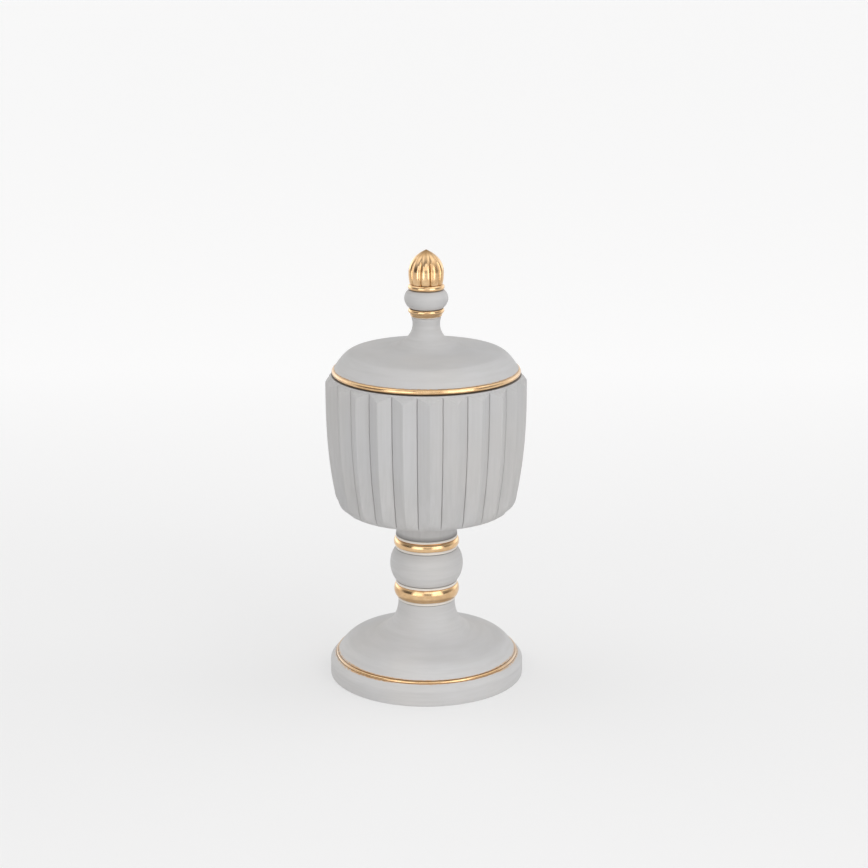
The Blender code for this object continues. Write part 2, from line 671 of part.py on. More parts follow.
def make_jar():
    """Builds every piece and stands it in its place on the axis."""
    grey = material("grey_matt_glaze", (0.55, 0.545, 0.535), 0.65, 0.0)
    gilt = material("gilt", (0.80, 0.53, 0.25), 0.25, 1.0)
    steel = material("zinc_plated_steel", (0.62, 0.62, 0.60), 0.35, 1.0)
    rubber = material("black_rubber", (0.03, 0.03, 0.032), 0.80, 0.0)
    jar = holder("jar_body", 0.0)
    lifting = holder("lid_lift", LID_BASE)

    foot, foot_web = make_foot(grey)
    stand(foot, 0.0, jar)
    foot_bead = bead("foot_bead", FOOT_BEAD_RADIUS, FOOT_BEAD_HEIGHT, FOOT_BEAD_THICKNESS, gilt)
    stand(foot_bead, 0.0, jar)
    lower_collar = make_collar(
        "lower_collar",
        LOWER_COLLAR_HEIGHT,
        LOWER_COLLAR_FOOT_RADIUS,
        LOWER_COLLAR_RADIUS,
        LOWER_COLLAR_TOP_RADIUS,
        LOWER_COLLAR_BELLY,
        gilt,
    )
    stand(lower_collar, LOWER_COLLAR_BASE, jar)
    stem_knop = make_knop(
        "stem_knop",
        bulge(
            (STEM_KNOP_FOOT_RADIUS, 0.0),
            (STEM_KNOP_RADIUS, STEM_KNOP_BELLY),
            (STEM_KNOP_TOP_RADIUS, STEM_KNOP_HEIGHT),
        ),
        STEM_KNOP_HEIGHT,
        SPIGOT_RADIUS,
        LOWER_COLLAR_HEIGHT + 2 * SEAT_GAP + SPIGOT_REACH,
        UPPER_COLLAR_HEIGHT + 2 * SEAT_GAP + SPIGOT_REACH,
        ROD_BORE,
        STEM_COLUMNS,
        grey,
    )
    stand(stem_knop, STEM_KNOP_BASE, jar)
    upper_collar = make_collar(
        "upper_collar",
        UPPER_COLLAR_HEIGHT,
        UPPER_COLLAR_FOOT_RADIUS,
        UPPER_COLLAR_RADIUS,
        UPPER_COLLAR_TOP_RADIUS,
        UPPER_COLLAR_BELLY,
        gilt,
    )
    stand(upper_collar, UPPER_COLLAR_BASE, jar)
    bowl, bowl_floor = make_bowl(grey)
    stand(bowl, BOWL_BASE, jar)

    nut_bore = ROD_RADIUS + FIT_GAP
    gasket_radius = ROD_WASHER_RADIUS + GASKET_OVERHANG
    gasket_above = bowl_floor + SEAT_GAP
    washer_above = gasket_above + GASKET_THICKNESS + SEAT_GAP
    cap_nut_base = washer_above + WASHER_THICKNESS + SEAT_GAP
    cap_nut_depth = ROD_NUT_HEIGHT + CAP_NUT_DOME - CAP_NUT_WALL
    gasket_below = foot_web - SEAT_GAP - GASKET_THICKNESS
    washer_below = gasket_below - SEAT_GAP - WASHER_THICKNESS
    foot_nut_base = washer_below - SEAT_GAP - ROD_NUT_HEIGHT
    rod_base = foot_nut_base - ROD_TAIL
    rod_top = cap_nut_base + cap_nut_depth - SEAT_GAP
    stand(make_rod("tie_rod", ROD_RADIUS, rod_top - rod_base, steel), rod_base, jar)
    bowl_gasket = make_washer("bowl_gasket", ROD_BORE, gasket_radius, GASKET_THICKNESS, rubber)
    stand(bowl_gasket, gasket_above, jar)
    bowl_washer = make_washer("bowl_washer", ROD_BORE, ROD_WASHER_RADIUS, WASHER_THICKNESS, steel)
    stand(bowl_washer, washer_above, jar)
    cap_nut = make_cap_nut(
        "bowl_cap_nut", nut_bore, cap_nut_depth, ROD_NUT_FLATS, ROD_NUT_HEIGHT, CAP_NUT_DOME, steel
    )
    stand(cap_nut, cap_nut_base, jar)
    foot_gasket = make_washer("foot_gasket", ROD_BORE, gasket_radius, GASKET_THICKNESS, rubber)
    stand(foot_gasket, gasket_below, jar)
    foot_washer = make_washer("foot_washer", ROD_BORE, ROD_WASHER_RADIUS, WASHER_THICKNESS, steel)
    stand(foot_washer, washer_below, jar)
    stand(make_nut("foot_nut", nut_bore, ROD_NUT_FLATS, ROD_NUT_HEIGHT, steel), foot_nut_base, jar)

    lid, lid_crown = make_lid(grey)
    stand(lid, LID_BASE, lifting)
    lid_bead = bead("lid_bead", LID_BEAD_RADIUS, LID_BEAD_HEIGHT, LID_BEAD_THICKNESS, gilt)
    stand(lid_bead, LID_BASE, lifting)
    stand(make_finial_collar(gilt), FINIAL_COLLAR_BASE, lifting)
    finial_knop = make_knop(
        "finial_knop",
        bulge(
            (FINIAL_KNOP_FOOT_RADIUS, 0.0),
            (FINIAL_KNOP_RADIUS, FINIAL_KNOP_BELLY),
            (FINIAL_KNOP_TOP_RADIUS, FINIAL_KNOP_HEIGHT),
        ),
        FINIAL_KNOP_HEIGHT,
        FINIAL_SPIGOT_RADIUS,
        FINIAL_COLLAR_HEIGHT + 2 * SEAT_GAP + FINIAL_SPIGOT_REACH,
        FINIAL_CUP_HEIGHT + 2 * SEAT_GAP + FINIAL_SPIGOT_REACH,
        STUD_BORE,
        FINIAL_COLUMNS,
        grey,
    )
    stand(finial_knop, FINIAL_KNOP_BASE, lifting)
    stand(make_finial_cup(gilt), FINIAL_CUP_BASE, lifting)
    stand(make_acorn(gilt), ACORN_BASE, lifting)

    stud_nut_bore = STUD_RADIUS + FIT_GAP
    stud_gasket_radius = STUD_WASHER_RADIUS + GASKET_OVERHANG
    gasket = lid_crown - SEAT_GAP - GASKET_THICKNESS
    washer = gasket - SEAT_GAP - WASHER_THICKNESS
    nut = washer - SEAT_GAP - STUD_NUT_HEIGHT
    stud_base = nut - STUD_TAIL
    stud_top = ACORN_BASE + FINIAL_SOCKET_DEPTH + STUD_ENTRY - SOCKET_PLAY
    stand(make_rod("finial_stud", STUD_RADIUS, stud_top - stud_base, steel), stud_base, lifting)
    finial_gasket = make_washer("finial_gasket", STUD_BORE, stud_gasket_radius, GASKET_THICKNESS, rubber)
    stand(finial_gasket, gasket, lifting)
    finial_washer = make_washer("finial_washer", STUD_BORE, STUD_WASHER_RADIUS, WASHER_THICKNESS, steel)
    stand(finial_washer, washer, lifting)
    stand(make_nut("finial_nut", stud_nut_bore, STUD_NUT_FLATS, STUD_NUT_HEIGHT, steel), nut, lifting)


for old in list(bpy.data.objects):
    bpy.data.objects.remove(old)
make_jar()
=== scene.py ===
"""Looks of a lidded pedestal jar: matt grey glaze, hand-gilded rings and a pleated bowl.

Metres, +Z up, the front faces -Y. Every piece is a surface worked out on a grid: one index runs
round the jar's axis and the other runs along an outline of (radius, height) points.
"""

import math

import bpy
import numpy as np
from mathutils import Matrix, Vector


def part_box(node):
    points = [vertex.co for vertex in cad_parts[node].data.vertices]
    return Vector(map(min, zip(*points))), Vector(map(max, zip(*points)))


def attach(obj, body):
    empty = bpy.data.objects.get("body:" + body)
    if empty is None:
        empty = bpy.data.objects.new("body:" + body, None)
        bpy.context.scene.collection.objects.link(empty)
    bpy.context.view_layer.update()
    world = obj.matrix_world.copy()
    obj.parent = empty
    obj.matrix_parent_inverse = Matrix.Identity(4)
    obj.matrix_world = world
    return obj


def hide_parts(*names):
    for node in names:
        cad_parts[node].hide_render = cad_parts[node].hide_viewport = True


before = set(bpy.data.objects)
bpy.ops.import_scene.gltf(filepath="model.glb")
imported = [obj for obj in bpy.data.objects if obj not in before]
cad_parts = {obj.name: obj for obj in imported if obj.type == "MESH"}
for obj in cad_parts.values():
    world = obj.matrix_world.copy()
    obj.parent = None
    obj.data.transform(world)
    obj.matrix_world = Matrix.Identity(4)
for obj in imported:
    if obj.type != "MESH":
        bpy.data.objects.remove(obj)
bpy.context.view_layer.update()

# Foot, where a shoulder and a flare are given by run and rise
FOOT_RIM_WIDTH = 0.0110
FOOT_EDGE = 0.0008
FOOT_NECK_RADIUS = 0.0250
FOOT_NECK_LENGTH = 0.0037
FOOT_WALL = 0.0050
FOOT_WEB = 0.0090
PLINTH_HEIGHT = 0.0120
FOOT_SHOULDER = (0.0122, 0.0110)
FOOT_FLARE = (0.0210, 0.0272)
FOOT_BEAD_SINK = 0.0009
FOOT_BEAD_FACING = math.radians(45)

# Lid
LID_NECK_RADIUS = 0.0118
LID_NECK_LENGTH = 0.0075
LID_NECK_LIP = 0.0010
LID_NECK_EDGE = 0.0006
LID_SHOULDER = (0.0154, 0.0142)
LID_FLARE = (0.0282, 0.0203)
LID_BEAD_HOOD = math.radians(80)
LID_WALL = 0.0050
LID_SKIRT_EDGE = 0.0009
LID_PLAY = 0.0008

# Bowl
BOWL_WALL = 0.0060
BOWL_NECK_RADIUS = 0.0264
BOWL_NECK_LENGTH = 0.0041
BOWL_NECK_LIP = 0.0006
BOWL_FLARE = (0.0076, 0.0108)
BOWL_TAPER = 0.0068
BOWL_LEAN = 0.19
BOWL_SOCKET_EDGE = 0.0005
CORNER_RUN = 0.0094
CORNER_RISE = 0.0147
CORNER_HEIGHT = 0.0245
BELLY_DROP = 0.0202
SHOULDER_DROP = 0.0090
RIM_SETBACK = 0.0052
RIM_LIP = 0.0016
RIM_EDGE = 0.0012
RIB_COUNT = 24
RIB_DEPTH = 0.0050
RIB_TURN = math.radians(2.4)
RIDGE_SOFTNESS = 0.0009
RIDGE_LOSS = 0.00025
VALLEY_CUT = 0.0007
VALLEY_WIDTH = 0.00028
VALLEY_ONSET = (0.02, 0.4)

# Stem, where a turned piece has a foot radius, a belly radius, a top radius and a belly height
SPIGOT_RADIUS = 0.0160
SPIGOT_REACH = 0.0080
LOWER_COLLAR = (0.0256, 0.0287, 0.0270, 0.0090)
UPPER_COLLAR = (0.0272, 0.0287, 0.0270, 0.0053)
COLLAR_FOOT_FILLET = 0.0018
COLLAR_TOP_FILLET = 0.0024
COLLAR_NOTCH = 0.0003
STEM_KNOP = (0.0262, 0.0320, 0.0268, 0.0153)

# Finial
FINIAL_SPIGOT_RADIUS = 0.0065
FINIAL_SPIGOT_REACH = 0.0050
FINIAL_COLLAR_FOOT_RADIUS = 0.0127
FINIAL_COLLAR_LIP = 0.0009
FINIAL_COLLAR_BEAD = 0.0030
FINIAL_COLLAR_TUCK = 0.0013
FINIAL_COLLAR_TOP_SETBACK = 0.0010
FINIAL_COLLAR_EDGE = 0.0005
FINIAL_COLLAR_LEAN = (0.0004, 0.0004)
FINIAL_KNOP = (0.0140, 0.0188, 0.0146, 0.0087)
FINIAL_CUP = (0.0146, 0.0157, 0.0139, 0.0020)
ACORN_FOOT_RADIUS = 0.0142
ACORN_RADIUS = 0.0153
ACORN_BELLY = 0.0098
ACORN_LOBES = 10
ACORN_TURN = math.radians(-2.0)
ACORN_GROOVE = 0.0015
ACORN_GROOVE_ONSET = 1.6

# Fasteners
ROD_PITCH = 0.00125
STUD_PITCH = 0.0010
THREAD_SHARE = 0.61
ROD_END_CHAMFER = 0.0006
NUT_CHAMFER = math.radians(30)
NUT_FACE_SHARE = 0.97
NUT_HOLE_CHAMFER = 0.0003
CAP_NUT_HEX = 0.0065
CAP_NUT_DOME_SHARE = 0.92
WASHER_EDGE = 0.0003

# Clearances
SEAT_GAP = 0.0003
FIT_GAP = 0.0003
ROD_PLAY = 0.0006
SOCKET_PLAY = 0.0005
PAINT_GAP = 0.00004

# Softened edges of the turned pieces
CERAMIC_EDGE = 0.0004
GILT_EDGE = 0.0003
CORNER_LIMIT = 0.45
CRISP = math.radians(70)
CRISP_STEEL = math.radians(30)

# Unevenness of handwork
TURNED_UNEVEN = 0.00006
MOULDED_UNEVEN = 0.00008
GILT_UNEVEN = 0.00010
WASHER_UNEVEN = 0.00003
FOOT_BEAD_UNEVEN = 0.0003
LID_BEAD_UNEVEN = 0.0002
WAVER_TURNS = (2, 3, 5, 8, 13)
WAVER_CLIMBS = (40.0, -70.0, 110.0, -160.0, 90.0)
WAVER_SHARES = (0.30, 0.25, 0.20, 0.15, 0.10)

# Curve handles, as shares of a curve's own run and rise
SWELL_REACH = 0.57
SWELL_LIFT = 0.20
PLINTH_LIFT = 0.40
PLINTH_REACH = 0.50
SHOULDER_START = (0.23, 0.36)
SHOULDER_REACH = 0.43
FLARE_REACH = 0.47
FLARE_END = (0.04, 0.60)
BOWL_FLARE_START = 0.60
BOWL_FLARE_END = (0.70, 0.13)
CORNER_START = (0.52, 0.16)
CORNER_END = (0.09, 0.46)
SHOULDER_RISE = 0.38
SHOULDER_FALL = (0.22, 0.41)
FINIAL_FLARE_START = (0.35, 0.15)
ACORN_START = (1.00, 0.30)
ACORN_END = (0.76, 0.75)

# Gilding: how far it spills past a bead or starts on a collar, how it wanders and fades, and its painted
# dull reflection at the beads' sides
FOOT_SPILL = 0.0002
FOOT_SPILL_WANDER = 0.0007
FOOT_SPILL_FADE = 0.0011
FOOT_SPILL_COVER = 0.75
FOOT_SIDE_SPILL = 0.0012
FOOT_SIDE_THINNING = 0.25
FOOT_SMEAR_PLACE = math.radians(-55)
FOOT_SMEAR_SPREAD = 0.05
FOOT_SMEAR_REACH = 0.0009
LID_SPILL = 0.0002
LID_SPILL_WANDER = 0.0003
LID_SPILL_FADE = 0.0007
LID_SPILL_COVER = 0.7
COLLAR_GILT_START = 0.0003
COLLAR_GILT_RISE = 0.0010
COLLAR_GILT_WANDER = 0.0004
COLLAR_GILT_FADE = 0.0008
FINIAL_GILT_START = 0.0002
FINIAL_GILT_WANDER = 0.0003
FINIAL_GILT_FADE = 0.0010
# Painted dull reflection: how much the beads' gilding is dulled at their left and right sides as seen from
# the front, and where that eases in
FOOT_BEAD_SIDE_DULLING = 0.38
LID_BEAD_SIDE_DULLING = 0.15
DULLED_SIDES = (0.70, 0.95)

# Painted shade in seams and crevices, and a painted dark reflection at the acorn's tip
SEAM_SHADE = 0.0005
BEAD_SHADE = 0.0007
BEAD_SHADE_FADE = 0.0010
RIM_BAND = 0.0001
VALLEY_SHADE = 0.5
ACORN_TIP = (0.60, 1.0)
ACORN_TIP_SHADE = 0.6

# Grid density
WIDE_COLUMNS = 256
SLIM_COLUMNS = 160
FASTENER_COLUMNS = 96
ROD_COLUMNS = 32
LOBE_COLUMNS = 24
BEAD_SIDES = 28
PLEAT_STATIONS = (0.0, 0.02, 0.05, 0.10, 0.22, 0.40, 0.58, 0.74, 0.86, 0.92, 0.95, 0.97, 0.985)
STEP = 0.0008
WIDE_STEP = 0.0014
KNOP_STEP = 0.0009
FINE_STEP = 0.0005
FINEST_STEP = 0.0004
INNER_STEP = 0.0040
ROWS_PER_THREAD = 8
BED_STEPS = 16
DOME_STEPS = 24
UNDERSIDE_STEPS = 9
CORNER_STEPS = 14
SIDE_STEPS = 20
SHOULDER_STEPS = 200
RIM_STEPS = 4
CONE_STEPS = 10
ACORN_STEPS = 40
CAP_NUT_ROWS = 16
TOLERANCE = 0.000001

# Colours, as linear red, green and blue
GLAZE_PALE = (0.492, 0.489, 0.485)
GLAZE_DEEP = (0.452, 0.448, 0.444)
GLAZE_WARM = (0.486, 0.466, 0.452)
GLAZE_COOL = (0.460, 0.458, 0.472)
GLAZE_DULL = (0.405, 0.400, 0.392)
# Painted shade for seams, valleys and the rim under the lid's bead
GLAZE_PAINTED_SHADE = (0.120, 0.112, 0.104)
GILT_SPILT = (0.60, 0.395, 0.220)
GILT_DEEP = (0.77, 0.503, 0.268)
GILT_BRIGHT = (0.86, 0.600, 0.345)
GILT_PATCH = (0.58, 0.345, 0.160)
# Painted shade in the acorn's grooves and a painted dark reflection at its tip
GILT_PAINTED_SHADE = (0.38, 0.215, 0.080)
# Dull thin gilt film: real at a collar's fading edges, a painted dull reflection at a bead's sides
GILT_THIN_AND_DULLED = (0.60, 0.465, 0.345)
GILT_BARE = (0.70, 0.655, 0.600)
STEEL_BRIGHT = (0.62, 0.62, 0.61)
STEEL_DULL = (0.48, 0.49, 0.51)
RUBBER_BLACK = (0.022, 0.022, 0.024)
RUBBER_DUST = (0.070, 0.069, 0.068)
# Floor paper with painted shade near the jar and painted light further behind it
PAPER_SHADED_NEAR = (0.482, 0.481, 0.481)
PAPER_LIT_FAR = (0.578, 0.577, 0.577)

# Brushing of the glaze: the stretch of its streaks and bristles along the axes, and each copy's tone, partly
# its own and partly painted light (the stem's copy made paler for the little light that reaches it under the
# bowl)
UPRIGHT_STREAKS = (1.0, 1.0, 0.10)
UPRIGHT_BRISTLES = (1.0, 1.0, 0.02)
ROUND_STREAKS = (0.35, 0.35, 1.0)
ROUND_BRISTLES = (0.06, 0.06, 1.0)
BOWL_TONE_AND_LIGHT = 0.985
LID_TONE_AND_LIGHT = 1.040
STEM_TONE_AND_LIGHT = 1.135

# Camera and floor
CAMERA_PLACE = (0.0066, -1.657, 0.670)
CAMERA_PITCH = math.radians(15.25)
CAMERA_LENS = 82.2
CAMERA_SENSOR = 36.0
FLOOR_HALF = 30.0
FLOOR_NEAR = -0.02
FLOOR_FAR = 1.15
FLOOR_GLOW = 0.80

# Softboxes: degrees round from the front, distance, width, low edge, high edge and glow of each field
SOFTBOXES = (
    (-31.0, 1.10, 0.72, 0.01, 0.55, 2.05),
    (-31.0, 1.10, 0.72, 0.55, 1.15, 1.45),
    (39.0, 1.10, 0.72, 0.01, 0.55, 2.05),
    (39.0, 1.10, 0.72, 0.55, 1.15, 2.35),
    (39.0, 1.10, 0.72, 1.15, 2.20, 0.45),
    (3.5, 2.00, 1.17, 0.01, 0.95, 0.40),
    (3.5, 2.00, 1.17, 0.95, 3.00, 1.35),
)

# A field whose low edge is below this height lights the jar alone
SOFTBOX_SPILL = 0.30

# Glows of the room: the direction of each one's middle, its sharpness and its strength
ROOM_GLOWS = (
    ((0.0, -1.0, 0.0), 2.0, 0.10),
    ((0.0, 1.0, 0.0), 2.0, 0.84),
    ((-1.0, 0.0, 0.0), 2.0, 0.05),
    ((1.0, 0.0, 0.0), 2.0, 0.20),
    ((-0.5, 0.0, 0.866), 8.0, 1.50),
    ((0.5, 0.0, 0.866), 8.0, 1.65),
    ((-0.766, 0.643, 0.0), 8.0, 2.10),
    ((0.766, 0.643, 0.0), 8.0, 1.25),
)


def bend(start, lead, follow, end, count=12):
    """Cubic Bezier points after the start: the four handles weighted by the Bernstein polynomials."""
    t = np.linspace(0.0, 1.0, count + 1)[1:, None]
    handles = [np.asarray(p, float) for p in (start, lead, follow, end)]
    weights = ((1 - t) ** 3, 3 * t * (1 - t) ** 2, 3 * t * t * (1 - t), t ** 3)
    return sum(w * h for w, h in zip(weights, handles))


def arc(centre, radius, first, last, count):
    """Points of a circle's arc, both ends included: centre plus radius times (cosine, sine)."""
    angle = np.linspace(first, last, count + 1)
    return np.asarray(centre) + radius * np.stack([np.cos(angle), np.sin(angle)], axis=1)


def joined(*stretches):
    """Stretches of an outline, or single points, put end to end."""
    return np.vstack([np.atleast_2d(np.asarray(s, float)) for s in stretches])


def softened(points, radius, count=3):
    """A polyline whose corners are cut back by the radius and bridged by parabolas with them as handles."""
    points = np.asarray(points, float)
    corner = points[1:-1]
    ends = []
    for neighbour in (points[:-2], points[2:]):
        way = neighbour - corner
        length = np.linalg.norm(way, axis=1)[:, None]
        ends.append(corner + way * (np.minimum(radius, CORNER_LIMIT * length) / length))
    start, end = ends
    t = np.linspace(0.0, 1.0, count + 1)[None, :, None]
    bridge = (1 - t) ** 2 * start[:, None] + 2 * t * (1 - t) * corner[:, None] + t ** 2 * end[:, None]
    return joined(points[:1], bridge.reshape(-1, 2), points[-1:])


def spaced(points, step=STEP):
    """A polyline with points added so that no stretch is longer than the step."""
    points = np.asarray(points, float)
    lengths = np.linalg.norm(np.diff(points, axis=0), axis=1)
    counts = np.maximum(1, np.ceil(lengths / step).astype(int))
    index = np.repeat(np.arange(len(counts)), counts)
    first = np.concatenate([[0], np.cumsum(counts)[:-1]])
    share = (np.arange(counts.sum()) - np.repeat(first, counts)) / np.repeat(counts, counts)
    filled = points[index] + share[:, None] * (points[index + 1] - points[index])
    return joined(filled, points[-1:])


def set_in(points, distance):
    """The same line moved to the left of its direction, along the normals of its chords."""
    along = np.gradient(np.asarray(points, float), axis=0)
    along /= np.linalg.norm(along, axis=1)[:, None]
    return points + distance * np.stack([-along[:, 1], along[:, 0]], axis=1)


def swell(end, belly):
    """A quarter bulge from an end to the belly, one Bezier curve that is upright at the belly."""
    run, rise = belly[0] - end[0], belly[1] - end[1]
    lead = (end[0] + SWELL_REACH * run, end[1] + SWELL_LIFT * rise)
    return bend(end, lead, (belly[0], end[1] + SWELL_REACH * rise), belly)


def bulge(foot, belly, top):
    """The side of a turned bulge: a quarter up to the belly and a mirrored quarter on to the top."""
    return joined(foot, swell(foot, belly), swell(top, belly)[-2::-1], top)


def dome(lip, shoulder, flare, neck):
    """A necked dome: a rounded shoulder, a shallow cone and a hollow flare that ends upright in the neck."""
    edge = np.array([lip[0] - shoulder[0], lip[1] + shoulder[1]])
    start = np.array([neck[0] + flare[0], neck[1] - flare[1]])
    slope = (start[1] - edge[1]) / (edge[0] - start[0])
    reach = SHOULDER_REACH * shoulder[0]
    lead = FLARE_REACH * flare[0]
    return joined(
        lip,
        bend(
            lip,
            (lip[0] - SHOULDER_START[0] * shoulder[0], lip[1] + SHOULDER_START[1] * shoulder[1]),
            (edge[0] + reach, edge[1] - reach * slope),
            edge,
            DOME_STEPS,
        ),
        start,
        bend(
            start,
            (start[0] - lead, start[1] + lead * slope),
            (neck[0] + FLARE_END[0] * flare[0], neck[1] - FLARE_END[1] * flare[1]),
            neck,
            DOME_STEPS,
        ),
    )


def waver(angle, height, seed):
    """Slow unevenness of handwork between -1 and 1: sines of whole turns, shifted with the height."""
    phase = np.random.default_rng(seed).uniform(0.0, math.tau, len(WAVER_TURNS))
    total = 0.0
    for turn, climb, share, start in zip(WAVER_TURNS, WAVER_CLIMBS, WAVER_SHARES, phase):
        total = total + share * np.sin(turn * angle + climb * height + start)
    return total


def eased(value, low, high):
    """0 below low, 1 above high and the smooth cubic 3t^2 - 2t^3 between them."""
    t = np.clip((value - low) / (high - low), 0.0, 1.0)
    return t * t * (3.0 - 2.0 * t)


def angles(columns):
    """The angle of each column, from the first one."""
    return np.linspace(0.0, math.tau, columns, endpoint=False)


def sideways(round_about):
    """0 in front and behind and 1 left and right, eased over the sine of the angle from the front."""
    return eased(np.abs(np.sin(round_about)), *DULLED_SIDES)


def carried_round(radius, angle, height):
    """Points of a grid: the radius times (cosine, sine) of the angle, and the height."""
    height = np.broadcast_to(height, radius.shape)
    return np.stack([radius * np.cos(angle), radius * np.sin(angle), height], axis=2)


def turned(outline, columns, uneven, seed):
    """A surface of revolution: the outline at each angle, its radius a little uneven."""
    angle = angles(columns)[None, :] - math.pi / 2
    radius = outline[:, :1]
    height = outline[:, 1:]
    return carried_round(radius + uneven * waver(angle, height, seed) * (radius > 0), angle, height)


def piece(name, rings, closed, finish, body, marks=None, crisp=CRISP):
    """A mesh from a grid of points, rows along the outline and columns round the axis.

    Every cell of the grid is one face, and the last column meets the first. A closed outline joins its
    last row to its first; an open one starts and ends on the axis, where each end row becomes a fan.
    Marks are numbers per point that the finish reads by name.
    """
    rows, columns = rings.shape[:2]
    here = np.arange(columns)
    there = (here + 1) % columns
    if closed:
        points = rings.reshape(-1, 3)
        low = np.arange(rows)
        high = (low + 1) % rows
        poles = np.zeros((0, 3), int)
    else:
        points = np.vstack([rings[0].mean(axis=0), rings[-1].mean(axis=0), rings[1:-1].reshape(-1, 3)])
        rows -= 2
        low = np.arange(rows - 1)
        high = low + 1
        last = 2 + (rows - 1) * columns
        bottom = np.stack([np.zeros(columns, int), 2 + there, 2 + here], axis=1)
        top = np.stack([np.ones(columns, int), last + here, last + there], axis=1)
        poles = np.vstack([bottom, top])
    first = 0 if closed else 2
    corners = ((low, here), (low, there), (high, there), (high, here))
    quads = np.stack([(first + row[:, None] * columns + column).ravel() for row, column in corners], axis=1)
    loops = np.concatenate([quads.ravel(), poles.ravel()]).astype(np.int32)
    totals = np.concatenate([np.full(len(quads), 4), np.full(len(poles), 3)])
    starts = np.concatenate([[0], np.cumsum(totals)[:-1]]).astype(np.int32)
    mesh = bpy.data.meshes.new(name)
    mesh.vertices.add(len(points))
    mesh.vertices.foreach_set("co", points.astype(np.float32).ravel())
    mesh.loops.add(len(loops))
    mesh.loops.foreach_set("vertex_index", loops)
    mesh.polygons.add(len(totals))
    mesh.polygons.foreach_set("loop_start", starts)
    mesh.update(calc_edges=True)
    mesh.validate()
    mesh.shade_smooth()
    mesh.set_sharp_from_angle(angle=crisp)
    mesh.materials.append(finish)
    for mark, values in (marks or {}).items():
        values = np.broadcast_to(values, rings.shape[:2])
        flat = values.ravel()
        if not closed:
            flat = np.concatenate([values[0, :1].ravel(), values[-1, :1].ravel(), values[1:-1].ravel()])
        mesh.attributes.new(mark, "FLOAT", "POINT").data.foreach_set("value", flat.astype(np.float32))
    made = bpy.data.objects.new(name, mesh)
    bpy.context.scene.collection.objects.link(made)
    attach(made, body)
    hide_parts(name)
    return made


def span(name):
    """A piece's largest radius along X, its base and its top."""
    low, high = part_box(name)
    return high.x, low.z, high.z


def bead_section(name):
    """Half the thickness of a bead and the (radius, height) of its middle."""
    low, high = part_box(name)
    half = (high.z - low.z) / 2
    return half, np.array([high.x - half, low.z + half])


def node(tree, kind, inputs=None, **settings):
    """A shader node with its settings and its inputs, a link where an input is a socket."""
    made = tree.nodes.new(kind)
    for name, value in settings.items():
        setattr(made, name, value)
    for name, value in (inputs or {}).items():
        if isinstance(value, bpy.types.NodeSocket):
            tree.links.new(value, made.inputs[name])
        else:
            made.inputs[name].default_value = value
    return made


def shader_nodes(name):
    """A node material, its tree, its main shader and the coordinates of the piece that wears it."""
    made = bpy.data.materials.new(name)
    made.use_nodes = True
    tree = made.node_tree
    place = node(tree, "ShaderNodeTexCoord").outputs["Object"]
    return made, tree, tree.nodes["Principled BSDF"], place


def noise(tree, place, scale, stretch=(1.0, 1.0, 1.0), detail=3.0, roughness=0.6):
    """A noise pattern on the piece's own coordinates, stretched along its axes."""
    mapping = node(tree, "ShaderNodeMapping", {"Vector": place, "Scale": stretch})
    made = node(
        tree,
        "ShaderNodeTexNoise",
        {"Vector": mapping.outputs["Vector"], "Scale": scale, "Detail": detail, "Roughness": roughness},
    )
    return made.outputs["Fac"]


def spread(tree, value, low, high, first=0.0, last=1.0):
    """A number carried from the range between low and high to the one between first and last."""
    return node(
        tree,
        "ShaderNodeMapRange",
        {"Value": value, "From Min": low, "From Max": high, "To Min": first, "To Max": last},
    ).outputs["Result"]


def computed(tree, operation, first, second):
    """Two numbers put together by one arithmetic operation."""
    return node(tree, "ShaderNodeMath", {0: first, 1: second}, operation=operation).outputs["Value"]


def mixed(tree, share, first, second):
    """Two colours mixed by a share, each of them a socket or a tuple of red, green and blue."""
    made = node(tree, "ShaderNodeMix", data_type="RGBA")
    # Inputs 0, 6 and 7 of a colour mix are its share and its two colours, and output 2 is the result
    for index, value in ((0, share), (6, first), (7, second)):
        if isinstance(value, bpy.types.NodeSocket):
            tree.links.new(value, made.inputs[index])
        elif isinstance(value, tuple):
            made.inputs[index].default_value = (*value, 1.0)
        else:
            made.inputs[index].default_value = value
    return made.outputs[2]


def mark_of(tree, name):
    """The number per point that a piece carries under a name, 0 where it carries none."""
    return node(tree, "ShaderNodeAttribute", attribute_name=name).outputs["Fac"]


def dent(tree, shader, relief, strength, depth):
    """The relief of a pattern on a shader's surface, as a bump."""
    bump = node(tree, "ShaderNodeBump", {"Height": relief, "Strength": strength, "Distance": depth})
    tree.links.new(bump.outputs["Normal"], shader.inputs["Normal"])


